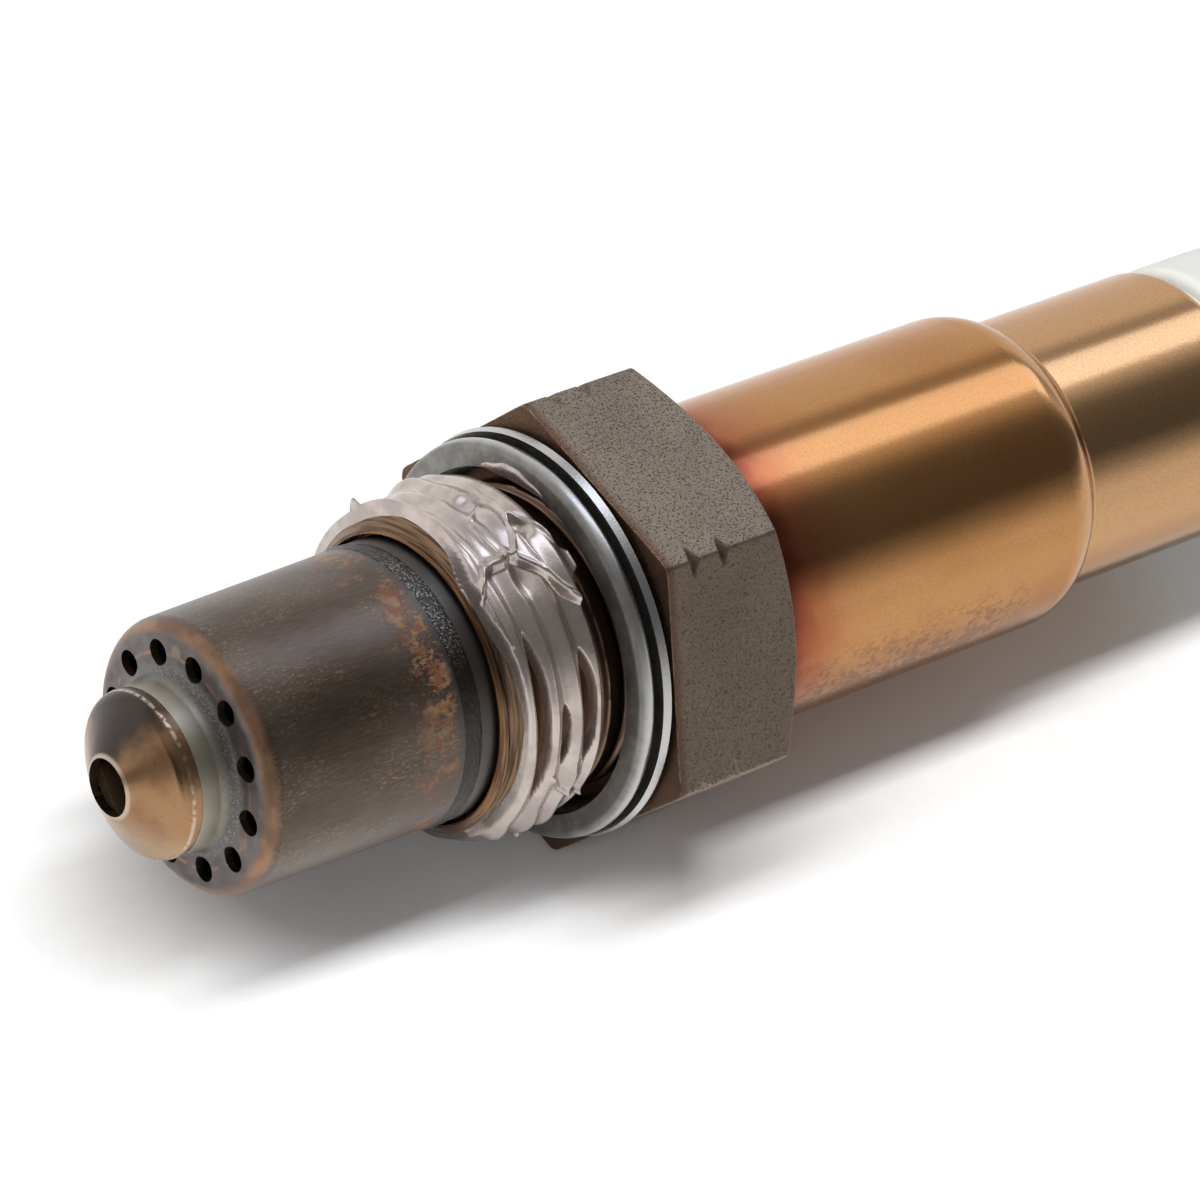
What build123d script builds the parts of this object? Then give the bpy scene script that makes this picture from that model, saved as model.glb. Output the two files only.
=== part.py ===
from build123d import *
import math
import os

# Planar wideband exhaust-gas oxygen sensor with an M18 x 1.5 thread and a 22 mm hexagon, without its cable.
# Millimetres. X runs along the axis, from the hot tip (-X) to the cable end (+X), and Z is up.
# The origin is on the axis, in the plane of the gasket's front sealing face.
# A hexagon flat faces down, as the sensor lies on a bench.

# Fits, and how far a cut runs past the face it opens
press_clearance = 0.02
sliding_clearance = 0.10
cut_overrun = 1.0

# Threaded shank
thread_radius = 9.0
thread_start_step = 1.0
shank_length = 7.1
relief_depth = 0.8
relief_front_offset = 0.1

# Hexagon, whose flats stand 2 mm outside the thread, which makes 22 mm across
hexagon_sides = 6
hexagon_step = 2.0
hexagon_length = 8.35
hexagon_front_chamfer = 0.15
hexagon_rear_chamfer_angle = 30.0
corner_nick_depth = 0.4
corner_nick_width = 0.36
corner_nick_offsets = (1.82, 3.80)

# Folded gasket ring
gasket_sheet = 0.45
gasket_height = 2.0
gasket_fold_clearance = 0.15
gasket_face_clearance = 0.53
gasket_front_fold = 0.25
gasket_rear_lean_angle = 17.0
gasket_front_rim_setback = 0.06
gasket_rear_rim_overhang = 0.21

# Protection tubes
tube_sheet = 0.45
outer_tube_length = 14.3
outer_tube_taper = 0.22
outer_tube_edge_round = 1.0
tube_seat_depth = 3.5
tube_recess_depth = 1.5
tube_recess_gap = 0.24
tube_recess_rim = 0.12
collar_length = 2.0
collar_root_round = 0.9
gas_hole_count = 12
gas_hole_diameter = 1.4
gas_hole_collar_gap = 0.53
gas_hole_first_angle = 18.4
nose_step = 2.9
nose_length = 4.6
nose_cone_angle = 58.7
nose_edge_round = 0.89
nose_hole_radius = 1.56
inner_hole_count = 6
inner_hole_diameter = 1.5
inner_hole_setback = 3.0
inner_flare_length = 2.6
inner_seat_length = 2.9

# Housing bore and rear boss
bore_radius = 5.6
web_thickness = 2.0
web_opening_radius = 3.2
boss_length = 4.15
lip_thickness = 0.8
lip_bush_gap = 0.7
bore_edge_round = 0.3

# Stack round the element
element_width = 4.2
element_thickness = 1.3
element_corner_round = 0.2
element_tip_setback = 4.0
front_bush_length = 5.5
rear_bush_length = 4.4
rear_bush_neck_step = 1.4
rear_bush_neck_length = 3.7
bush_edge_chamfer = 0.4
retaining_ring_thickness = 1.2

# Stepped sleeve
sleeve_sheet = 0.5
sleeve_radius = 8.97
sleeve_large_length = 22.05
sleeve_shoulder_round = 3.0
sleeve_shoulder_length = 2.25
sleeve_step = 1.21
sleeve_small_length = 12.95
sleeve_corner_round = 0.4
sleeve_lip_reach = 0.81
sleeve_lip_round = 0.65

# Contact holder, clips and clamp spring
holder_radial_gap = 1.26
holder_length = 12.0
holder_rear_overhang = 2.6
holder_end_wall = 1.0
holder_split_gap = 0.06
holder_edge_chamfer = 0.5
upper_clip_offsets = (-1.35, 0.0, 1.35)
lower_clip_offsets = (-1.35, 1.35)
clip_width = 0.9
clip_sheet = 0.22
clip_height = 2.3
clip_reach = 7.0
clip_tongue_length = 4.6
clip_tongue_bow = 6.0
clip_bend_round = 0.35
clip_tail_length = 1.2
ferrule_length = 2.4
ferrule_radius = 0.58
ferrule_wall = 0.18
groove_side_gap = 0.06
spring_sheet = 0.35
spring_length = 5.0
spring_gap_angle = 24.0
spring_front_setback = 3.0
spring_finger_count = 3
spring_finger_width = 3.0
spring_finger_crest_share = 0.55
spring_finger_end_drop = 0.6
spring_bend_round = 0.8

# Grommet and hose
grommet_length = 5.0
grommet_spigot_step = 1.06
grommet_spigot_length = 4.0
lead_bore_count = 5
lead_bore_diameter = 1.9
lead_bore_setback = 2.3
hose_flange_length = 1.1
hose_neck_gap = 0.07
hose_groove_width = 0.8
hose_body_setback = 0.11
hose_body_length = 5.6
hose_taper_length = 6.0
hose_taper_step = 1.95
hose_end_wall = 0.8
hose_end_length = 4.0
hose_edge_round = 0.6

# Stations along the axis
shank_front = -shank_length
tube_seat_rear = shank_front + tube_seat_depth
tube_face = shank_front - outer_tube_length
collar_front = tube_face - collar_length
nose_front = tube_face - nose_length
element_front = nose_front + element_tip_setback
web_rear = tube_seat_rear + web_thickness
hexagon_front = gasket_height
hexagon_rear = hexagon_front + hexagon_length
boss_rear = hexagon_rear + boss_length
lip_rear = boss_rear + lip_thickness
rear_bush_front = boss_rear - retaining_ring_thickness - rear_bush_length
shoulder_front = hexagon_rear + sleeve_large_length
shoulder_rear = shoulder_front + sleeve_shoulder_length
sleeve_rear = shoulder_rear + sleeve_small_length
holder_rear = shoulder_front + holder_rear_overhang
holder_front = holder_rear - holder_length
element_rear = holder_rear - holder_end_wall
hose_front = sleeve_rear - sleeve_sheet - hose_flange_length
grommet_front = hose_front - grommet_length
spigot_rear = hose_front + grommet_spigot_length
hose_body_front = sleeve_rear + hose_groove_width
hose_body_rear = hose_body_front + hose_body_length
hose_taper_rear = hose_body_rear + hose_taper_length
hose_rear = hose_taper_rear + hose_end_length

# Radii and spans that follow from the sizes above
thread_start_radius = thread_radius - thread_start_step
relief_radius = thread_radius - relief_depth
flat_radius = thread_radius + hexagon_step
hexagon_corner_radius = flat_radius / math.cos(math.pi / hexagon_sides)
gasket_fold_inner_radius = thread_radius + gasket_fold_clearance
gasket_face_inner_radius = thread_radius + gasket_face_clearance
gasket_front_rim_radius = flat_radius - gasket_front_rim_setback
gasket_rear_rim_radius = flat_radius + gasket_rear_rim_overhang
tube_recess_radius = thread_start_radius - tube_recess_rim
outer_tube_rear_radius = tube_recess_radius - tube_recess_gap
outer_tube_front_radius = outer_tube_rear_radius - outer_tube_taper
tube_bore_radius = outer_tube_rear_radius - tube_sheet
nose_radius = outer_tube_front_radius - nose_step
collar_radius = nose_radius
nose_neck_radius = collar_radius - tube_sheet - press_clearance
gas_hole_circle_radius = collar_radius + gas_hole_collar_gap + gas_hole_diameter / 2
boss_radius = sleeve_radius - sleeve_sheet - press_clearance
sleeve_small_radius = sleeve_radius - sleeve_step
sleeve_lip_radius = sleeve_small_radius - sleeve_lip_reach
small_bore_radius = sleeve_small_radius - sleeve_sheet
stack_radius = bore_radius - press_clearance
rear_bush_neck_radius = bore_radius - rear_bush_neck_step
lip_radius = rear_bush_neck_radius + lip_bush_gap
holder_radius = small_bore_radius - holder_radial_gap
grommet_spigot_radius = small_bore_radius - grommet_spigot_step
lead_circle_radius = grommet_spigot_radius - lead_bore_setback
hose_neck_radius = sleeve_lip_radius - hose_neck_gap
hose_body_radius = sleeve_small_radius - hose_body_setback
hose_end_radius = hose_body_radius - hose_taper_step
hose_end_bore_radius = hose_end_radius - hose_end_wall
slot_width = element_width + 2 * sliding_clearance
slot_thickness = element_thickness + 2 * sliding_clearance
clip_rise = element_thickness / 2 + clip_height


def turned(outline):
    """Solid of revolution about X of a closed outline of (x, radius) or (x, radius, corner round) points."""
    points = [corner[:2] for corner in outline]
    rounds = [corner[2] if len(corner) > 2 else 0 for corner in outline]
    return revolve(make_face(FilletPolyline(*points, radius=rounds, close=True)), Axis.X)


def drawn(centre_line, sheet):
    """Sheet solid of revolution whose wall follows an open line of (x, radius, bend radius) points."""
    points = [corner[:2] for corner in centre_line]
    bends = [corner[2] for corner in centre_line[1:-1]]
    return revolve(trace(FilletPolyline(*points, radius=bends), sheet), Axis.X)


def rod(front, rear, radius, y=0.0, z=0.0):
    """Plain cylinder along X between two stations."""
    centre = Location(((front + rear) / 2, y, z))
    return centre * Rotation(0, 90, 0) * Cylinder(radius, rear - front)


def bar(front, rear, width, low, high, y=0.0):
    """Rectangular bar along X, of a width along Y, between two heights."""
    centre = Location(((front + rear) / 2, y, (low + high) / 2))
    return centre * Box(rear - front, width, high - low)


def on_circle(count, radius, first_angle):
    """Places (y, z) on a circle, with angles counted from +Z towards -Y."""
    angles = [math.radians(first_angle + 360 * index / count) for index in range(count)]
    return [(-radius * math.sin(angle), radius * math.cos(angle)) for angle in angles]


def element_slot(front, rear):
    """Clear space round the element."""
    return bar(front, rear, slot_width, -slot_thickness / 2, slot_thickness / 2)


def outer_protection_tube():
    half = tube_sheet / 2
    line = [
        (collar_front, collar_radius - half, 0),
        (tube_face + half, collar_radius - half, collar_root_round + half),
        (tube_face + half, outer_tube_front_radius - half, outer_tube_edge_round - half),
        (shank_front, outer_tube_rear_radius - half, tube_sheet),
        (tube_seat_rear, outer_tube_rear_radius - half, 0),
    ]
    tube = drawn(line, tube_sheet)
    for y, z in on_circle(gas_hole_count, gas_hole_circle_radius, gas_hole_first_angle):
        tube -= rod(tube_face - cut_overrun, tube_face + cut_overrun, gas_hole_diameter / 2, y, z)
    return tube


def inner_protection_tube():
    """Drawn cup with side holes and a coned nose, whose upset head meets the outer collar flush."""
    half = tube_sheet / 2
    cone = math.tan(math.radians(nose_cone_angle))
    shoulder = nose_front + (nose_radius - nose_hole_radius) / cone
    head_rear = collar_front - press_clearance
    head_root = nose_neck_radius - tube_sheet + press_clearance
    neck_line = nose_neck_radius - half
    neck_corner = nose_front + (nose_neck_radius - nose_hole_radius) / cone
    neck_corner += half * math.tan(math.radians(nose_cone_angle) / 2)
    cut_radius = nose_hole_radius - half
    cut_x = neck_corner - (neck_line - cut_radius) / cone
    seat_front = tube_seat_rear - inner_seat_length
    flare_front = seat_front - inner_flare_length
    seat_radius = tube_bore_radius - press_clearance - half
    line = [
        (cut_x, cut_radius, 0),
        (neck_corner, neck_line, half + press_clearance),
        (flare_front, neck_line, 2 * tube_sheet),
        (seat_front, seat_radius, 2 * tube_sheet),
        (tube_seat_rear, seat_radius, 0),
    ]
    head = [
        (nose_front + (head_root - nose_hole_radius) / cone, head_root),
        (shoulder, nose_radius, nose_edge_round),
        (head_rear, nose_radius),
        (head_rear, head_root),
    ]
    tube = drawn(line, tube_sheet) + turned(head)
    tube -= rod(nose_front - cut_overrun, shoulder, nose_hole_radius)
    side_hole = Cylinder(inner_hole_diameter / 2, 2 * (tube_sheet + cut_overrun))
    side_hole = Location((flare_front - inner_hole_setback, 0, nose_neck_radius)) * side_hole
    for index in range(inner_hole_count):
        tube -= Rotation(360 * index / inner_hole_count, 0, 0) * side_hole
    return tube


def hexagon():
    """Hexagon with a flat down, chamfered at both ends and nicked twice across each corner edge."""
    outline = RegularPolygon(hexagon_corner_radius, hexagon_sides, rotation=180 / hexagon_sides)
    block = Location((hexagon_front, 0, 0)) * Rotation(0, 90, 0) * extrude(outline, hexagon_length)
    chamfer_run = math.tan(math.radians(hexagon_rear_chamfer_angle))
    nick_radius = hexagon_corner_radius - corner_nick_depth
    reach = hexagon_corner_radius + corner_nick_width
    turning_envelope = [
        (hexagon_front, 0),
        (hexagon_front, hexagon_corner_radius - hexagon_front_chamfer),
        (hexagon_front + hexagon_front_chamfer, hexagon_corner_radius),
        (hexagon_front + hexagon_front_chamfer, reach),
        (hexagon_rear - (reach - flat_radius) * chamfer_run, reach),
        (hexagon_rear, flat_radius),
        (hexagon_rear, 0),
    ]
    block &= turned(turning_envelope)
    for offset in corner_nick_offsets:
        centre = hexagon_front + offset
        nick = [
            (centre, nick_radius),
            (centre + corner_nick_width / 2, hexagon_corner_radius),
            (centre + corner_nick_width / 2, reach),
            (centre - corner_nick_width / 2, reach),
            (centre - corner_nick_width / 2, hexagon_corner_radius),
        ]
        block -= turned(nick)
    return block


def sensor_housing():
    thread_chamfer = thread_radius - thread_start_radius
    relief_chamfer = thread_radius - relief_radius
    shank = [
        (shank_front, tube_recess_radius),
        (shank_front, thread_start_radius),
        (shank_front + thread_chamfer, thread_radius),
        (relief_front_offset, thread_radius),
        (relief_front_offset + relief_chamfer, relief_radius),
        (hexagon_front, relief_radius),
        (hexagon_front, bore_radius),
        (web_rear, bore_radius, bore_edge_round),
        (web_rear, web_opening_radius),
        (tube_seat_rear, web_opening_radius),
        (tube_seat_rear, outer_tube_rear_radius + press_clearance),
        (shank_front + tube_recess_depth, outer_tube_rear_radius + press_clearance),
        (shank_front + tube_recess_depth, tube_recess_radius),
    ]
    boss = [
        (hexagon_rear, bore_radius),
        (hexagon_rear, boss_radius),
        (boss_rear, boss_radius),
        (lip_rear, bore_radius + lip_thickness, lip_thickness),
        (lip_rear, lip_radius),
        (boss_rear, lip_radius),
        (boss_rear, bore_radius),
    ]
    bored_hexagon = hexagon() - rod(hexagon_front - cut_overrun, hexagon_rear + cut_overrun, bore_radius)
    return turned(shank) + bored_hexagon + turned(boss)


def gasket_ring():
    """Sheet folded twice: a flat front leg, a tight outer fold and a rear leg whose rim leans forward."""
    half = gasket_sheet / 2
    lean = math.radians(gasket_rear_lean_angle)
    front_leg = half
    middle_leg = front_leg + 2 * gasket_front_fold
    inner_fold = (gasket_height - half - middle_leg) / 2
    inner_line = gasket_fold_inner_radius + half
    rear_corner = middle_leg + inner_fold * (1 + math.tan(math.pi / 4 + lean / 2))
    rim_line = gasket_rear_rim_radius - half * math.sin(lean)
    line = [
        (front_leg, gasket_face_inner_radius, 0),
        (front_leg, gasket_front_rim_radius - half, gasket_front_fold),
        (middle_leg, gasket_front_rim_radius - half, gasket_front_fold),
        (middle_leg, inner_line, inner_fold),
        (rear_corner, inner_line, inner_fold),
        (rear_corner - (rim_line - inner_line) * math.tan(lean), rim_line, 0),
    ]
    return drawn(line, gasket_sheet)


def sensor_element():
    strip = bar(element_front, element_rear, element_width, -element_thickness / 2, element_thickness / 2)
    return fillet(strip.edges().filter_by(Axis.X), element_corner_round)


def front_ceramic_bush():
    rear = web_rear + front_bush_length
    outline = [
        (web_rear, 0),
        (web_rear, stack_radius, bore_edge_round + press_clearance),
        (rear, stack_radius),
        (rear, 0),
    ]
    return turned(outline) - element_slot(web_rear - cut_overrun, rear + cut_overrun)


def talc_seal():
    front = web_rear + front_bush_length
    slot = bar(
        front - cut_overrun,
        rear_bush_front + cut_overrun,
        element_width + 2 * press_clearance,
        -element_thickness / 2 - press_clearance,
        element_thickness / 2 + press_clearance,
    )
    return rod(front, rear_bush_front, stack_radius) - slot


def rear_ceramic_bush():
    flange_rear = rear_bush_front + rear_bush_length
    neck_rear = flange_rear + rear_bush_neck_length
    outline = [
        (rear_bush_front, 0),
        (rear_bush_front, stack_radius),
        (flange_rear, stack_radius),
        (flange_rear, rear_bush_neck_radius),
        (neck_rear - bush_edge_chamfer, rear_bush_neck_radius),
        (neck_rear, rear_bush_neck_radius - bush_edge_chamfer),
        (neck_rear, 0),
    ]
    return turned(outline) - element_slot(rear_bush_front - cut_overrun, neck_rear + cut_overrun)


def retaining_ring():
    front = boss_rear - retaining_ring_thickness
    inner_radius = rear_bush_neck_radius + sliding_clearance
    ring = rod(front, boss_rear, stack_radius)
    return ring - rod(front - cut_overrun, boss_rear + cut_overrun, inner_radius)


def protective_sleeve():
    """Drawn sleeve with a long rounded shoulder, a tight corner and a rear end rolled inwards."""
    half = sleeve_sheet / 2
    large = sleeve_radius - half
    small = sleeve_small_radius - half
    swing = math.asin(sleeve_shoulder_length / sleeve_shoulder_round)
    bend = sleeve_shoulder_round - half
    turn_x = shoulder_front + bend * math.tan(swing / 2)
    corner_x = turn_x + (large - small) / math.tan(swing)
    line = [
        (hexagon_rear, large, 0),
        (turn_x, large, bend),
        (corner_x, small, sleeve_corner_round + half),
        (sleeve_rear - half, small, sleeve_lip_round - half),
        (sleeve_rear - half, sleeve_lip_radius, 0),
    ]
    return drawn(line, sleeve_sheet)


def contact_holder(side):
    """Half shell over the element's rear end; side is 1 for the upper half and -1 for the lower half."""
    offsets = upper_clip_offsets if side > 0 else lower_clip_offsets
    body = rod(holder_front, holder_rear, holder_radius)
    body = chamfer(body.edges(), holder_edge_chamfer)
    upper_space = bar(holder_front, holder_rear, 2 * holder_radius, holder_split_gap / 2, holder_radius)
    half = body & upper_space
    half -= element_slot(holder_front - cut_overrun, element_rear + sliding_clearance)
    groove_front = holder_rear - clip_reach - sliding_clearance
    groove_top = clip_rise + clip_sheet / 2 + groove_side_gap
    for offset in offsets:
        width = clip_width + 2 * groove_side_gap
        half -= bar(groove_front, holder_rear + cut_overrun, width, 0, groove_top, offset)
    return half if side > 0 else mirror(half, Plane.XY)


def contact_clip(offset, side):
    """Hairpin spring contact with a bowed tongue that presses on the element and a rolled ferrule behind."""
    fold_x = holder_rear - clip_reach + clip_sheet / 2
    touch_z = element_thickness / 2 + clip_sheet / 2
    tongue_slope = math.atan(2 * clip_bend_round / clip_tongue_length)
    bow_z = touch_z - clip_tongue_bow * (1 / math.cos(tongue_slope) - 1)
    tail_x = holder_rear + clip_tail_length
    line = [
        (tail_x, clip_rise),
        (fold_x, clip_rise),
        (fold_x, bow_z + clip_bend_round),
        (fold_x + clip_tongue_length / 2, bow_z),
        (fold_x + clip_tongue_length, bow_z + clip_bend_round),
    ]
    bends = [clip_bend_round, clip_bend_round, clip_tongue_bow]
    profile = trace(FilletPolyline(*line, radius=bends), clip_sheet)
    strip = extrude(Plane.XZ * profile, clip_width / 2, both=True)
    ferrule_z = clip_rise + ferrule_radius - clip_sheet / 2
    ferrule_rear = tail_x + ferrule_length
    ferrule = rod(tail_x, ferrule_rear, ferrule_radius, 0, ferrule_z)
    hollow_radius = ferrule_radius - ferrule_wall
    ferrule -= rod(tail_x - cut_overrun, ferrule_rear + cut_overrun, hollow_radius, 0, ferrule_z)
    clip = Location((0, offset, 0)) * (strip + ferrule)
    return clip if side > 0 else mirror(clip, Plane.XY)


def holder_clamp_spring():
    """Split ring that grips both halves, with bowed fingers that bear on the sleeve's wall."""
    front = holder_front + spring_front_setback
    rear = front + spring_length
    inner_radius = holder_radius + press_clearance
    ring = rod(front, rear, inner_radius + spring_sheet) - rod(holder_front, holder_rear, inner_radius)
    gap_half_width = inner_radius * math.sin(math.radians(spring_gap_angle / 2))
    ring -= bar(holder_front, holder_rear, 2 * gap_half_width, 0, sleeve_radius)
    half = spring_sheet / 2
    root_z = inner_radius + half
    bearing_radius = sleeve_radius - sleeve_sheet - press_clearance
    crest_z = math.sqrt(bearing_radius**2 - (spring_finger_width / 2) ** 2) - half
    crest_x = front + spring_length * spring_finger_crest_share
    line = [
        (front, root_z),
        (front + spring_sheet, root_z),
        (crest_x, crest_z),
        (rear, crest_z - spring_finger_end_drop),
    ]
    finger = trace(FilletPolyline(*line, radius=spring_bend_round), spring_sheet)
    finger = extrude(Plane.XZ * finger, spring_finger_width / 2, both=True)
    finger -= rod(holder_front, holder_rear, inner_radius)
    for index in range(spring_finger_count):
        angle = 360 * (index + 0.5) / spring_finger_count
        ring += Rotation(angle, 0, 0) * finger
    return ring


def cable_grommet():
    plug_radius = small_bore_radius - press_clearance
    outline = [
        (grommet_front, 0),
        (grommet_front, plug_radius, hose_edge_round),
        (hose_front, plug_radius),
        (hose_front, grommet_spigot_radius),
        (spigot_rear, grommet_spigot_radius, hose_edge_round),
        (spigot_rear, 0),
    ]
    plug = turned(outline)
    for y, z in on_circle(lead_bore_count, lead_circle_radius, 0):
        plug -= rod(grommet_front - cut_overrun, spigot_rear + cut_overrun, lead_bore_diameter / 2, y, z)
    return plug


def shaped_hose():
    flange_radius = small_bore_radius - press_clearance
    flange_rear = hose_front + hose_flange_length
    spigot_bore = grommet_spigot_radius + press_clearance
    outline = [
        (hose_front, spigot_bore),
        (hose_front, flange_radius),
        (flange_rear, flange_radius, hose_edge_round / 2),
        (flange_rear, hose_neck_radius),
        (hose_body_front, hose_neck_radius),
        (hose_body_front, hose_body_radius, hose_edge_round),
        (hose_body_rear, hose_body_radius, hose_body_length),
        (hose_taper_rear, hose_end_radius, hose_body_length),
        (hose_rear, hose_end_radius, hose_edge_round / 2),
        (hose_rear, hose_end_bore_radius, hose_edge_round / 2),
        (hose_taper_rear, hose_end_bore_radius),
        (spigot_rear, spigot_bore),
    ]
    return turned(outline)


def write_parts():
    parts = {
        "outer_protection_tube": outer_protection_tube(),
        "inner_protection_tube": inner_protection_tube(),
        "sensor_housing": sensor_housing(),
        "gasket_ring": gasket_ring(),
        "sensor_element": sensor_element(),
        "front_ceramic_bush": front_ceramic_bush(),
        "talc_seal": talc_seal(),
        "rear_ceramic_bush": rear_ceramic_bush(),
        "retaining_ring": retaining_ring(),
        "protective_sleeve": protective_sleeve(),
        "contact_holder_upper": contact_holder(1),
        "contact_holder_lower": contact_holder(-1),
        "holder_clamp_spring": holder_clamp_spring(),
        "cable_grommet": cable_grommet(),
        "shaped_hose": shaped_hose(),
    }
    clips = [(offset, 1) for offset in upper_clip_offsets] + [(offset, -1) for offset in lower_clip_offsets]
    for number, (offset, side) in enumerate(clips, start=1):
        parts[f"contact_clip_{number}"] = contact_clip(offset, side)
    os.makedirs("parts", exist_ok=True)
    for name, solid in parts.items():
        export_step(solid, f"parts/{name}.step")
        print(f"{name}: {solid.volume:.1f} mm3")


write_parts()
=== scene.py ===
"""Oxygen sensor: finishes, thread, anti-seize paste, floor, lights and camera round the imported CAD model.

Everything is in the CAD model's frame: X runs along the sensor's axis to the cable end, Z is up.
Sizes in this file are millimetres unless a name says otherwise, and angles round the axis are degrees
from +Y towards +Z.
"""

from __future__ import annotations

import logging
import math
from collections.abc import Mapping, Sequence
from dataclasses import dataclass
from enum import Enum
from typing import ClassVar

import bmesh
import bpy
import numpy as np
from mathutils import Matrix, Vector


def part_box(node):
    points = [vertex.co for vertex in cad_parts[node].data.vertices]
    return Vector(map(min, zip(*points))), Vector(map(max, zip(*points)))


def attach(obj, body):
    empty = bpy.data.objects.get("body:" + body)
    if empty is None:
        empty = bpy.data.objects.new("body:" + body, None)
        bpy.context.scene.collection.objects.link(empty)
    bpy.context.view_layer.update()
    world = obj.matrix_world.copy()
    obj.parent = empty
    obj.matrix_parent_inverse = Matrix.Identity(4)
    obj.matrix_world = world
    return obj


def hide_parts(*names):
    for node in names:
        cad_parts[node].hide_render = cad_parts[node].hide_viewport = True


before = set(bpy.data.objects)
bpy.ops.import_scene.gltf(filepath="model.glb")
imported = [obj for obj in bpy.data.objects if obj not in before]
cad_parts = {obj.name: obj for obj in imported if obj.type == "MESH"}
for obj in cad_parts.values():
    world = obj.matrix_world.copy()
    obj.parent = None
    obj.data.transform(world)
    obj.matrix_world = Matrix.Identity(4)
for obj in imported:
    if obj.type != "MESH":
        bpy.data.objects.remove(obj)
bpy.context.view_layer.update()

log = logging.getLogger("oxygen_sensor")

MM = 0.001
BODY = "root"
WHITE = "#ffffff"

Array = np.ndarray
Tree = bpy.types.NodeTree
Points = tuple[tuple[float, float], ...]
Stops = Sequence[tuple[float, str]]


def linear(hex_code: str) -> tuple[float, float, float, float]:
    """Turns an sRGB hex colour to the linear colour that Blender's sockets take.

    Args:
        hex_code: six hex digits, with or without a leading #.

    Returns:
        Red, green, blue and an alpha of 1.
    """
    digits = hex_code.lstrip("#")
    channels = [int(digits[i : i + 2], 16) / 255 for i in (0, 2, 4)]
    red, green, blue = (c / 12.92 if c <= 0.04045 else ((c + 0.055) / 1.055) ** 2.4 for c in channels)
    return red, green, blue, 1.0


def add_node(
    tree: Tree,
    kind: str,
    inputs: Mapping[str | int, object] | None = None,
    stops: Stops = (),
    **settings: object,
) -> bpy.types.Node:
    """Adds one node with its settings and links.

    Args:
        tree: node tree that takes the node.
        kind: the node's type without its ShaderNode prefix.
        inputs: value or signal for each input, by name or index.
        stops: position and hex colour of each stop, for a colour ramp.
        settings: the node's own properties.

    Returns:
        The new node.
    """
    node = tree.nodes.new("ShaderNode" + kind)
    for name, value in settings.items():
        setattr(node, name, value)
    for key, value in (inputs or {}).items():
        if isinstance(value, Signal):
            tree.links.new(value.socket, node.inputs[key])
        else:
            node.inputs[key].default_value = value
    if stops:
        ramp = node.color_ramp
        while len(ramp.elements) < len(stops):
            ramp.elements.new(1.0)
        for element, (position, colour) in zip(ramp.elements, stops):
            element.position = position
            element.color = linear(colour)
    return node


class Signal:
    """What a node gives out: a number, colour, place or shader. Its methods add the nodes that use it."""

    def __init__(self, node: bpy.types.Node, output: str | int = 0) -> None:
        """Keeps one output of a node."""
        self.tree, self.socket = node.id_data, node.outputs[output]

    def math(self, operation: str, *others: Signal | float) -> Signal:
        """Result of a math operation on this number and others."""
        return Signal(add_node(self.tree, "Math", dict(enumerate((self, *others))), operation=operation))

    def __add__(self, other: Signal | float) -> Signal:
        """Sum."""
        return self.math("ADD", other)

    def __sub__(self, other: Signal | float) -> Signal:
        """Difference."""
        return self.math("SUBTRACT", other)

    def __mul__(self, other: Signal | float) -> Signal:
        """Product."""
        return self.math("MULTIPLY", other)

    def __truediv__(self, other: Signal | float) -> Signal:
        """Quotient."""
        return self.math("DIVIDE", other)

    def diagonal(self, other: Signal) -> Signal:
        """Length of the diagonal between this length and another at right angles to it."""
        return (self.math("POWER", 2.0) + other.math("POWER", 2.0)).math("SQRT")

    def away_from(self, middle: float) -> Signal:
        """Distance of this number from another."""
        return (self - middle).math("ABSOLUTE")

    def fade(self, start: float, end: float) -> Signal:
        """Smooth rise from 0 where this number is start to 1 where it is end, which may lie below start."""
        inputs = {"Value": self, "From Min": start, "From Max": end}
        return Signal(add_node(self.tree, "MapRange", inputs, interpolation_type="SMOOTHSTEP"))

    def mix(self, low: Signal | str, high: Signal | str) -> Signal:
        """Blend of two colours by this share, each a hex code or a signal."""
        ends = [linear(end) if isinstance(end, str) else end for end in (low, high)]
        return Signal(add_node(self.tree, "Mix", {0: self, 6: ends[0], 7: ends[1]}, data_type="RGBA"), 2)

    def blend(self, low: float, high: float) -> Signal:
        """Blend of two numbers by this share."""
        return Signal(add_node(self.tree, "Mix", {0: self, 2: low, 3: high}, data_type="FLOAT"))

    def bump(self, depth: float, under: Signal | None = None) -> Signal:
        """Surface relief with this height, from 0 to 1.

        Args:
            depth: millimetres between 0 and 1.
            under: normal that the relief is laid over.

        Returns:
            The bumped normal.
        """
        inputs: dict[str | int, object] = {"Height": self, "Distance": depth * MM, "Strength": 1.0}
        if under is not None:
            inputs["Normal"] = under
        return Signal(add_node(self.tree, "Bump", inputs))


def on_rays(tree: Tree, *kinds: str) -> Signal:
    """Share that is 1 on rays of any of the named kinds and 0 on others."""
    path = add_node(tree, "LightPath")
    share, *others = (Signal(path, f"Is {kind} Ray") for kind in kinds)
    for other in others:
        share = share.math("MAXIMUM", other)
    return share


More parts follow.
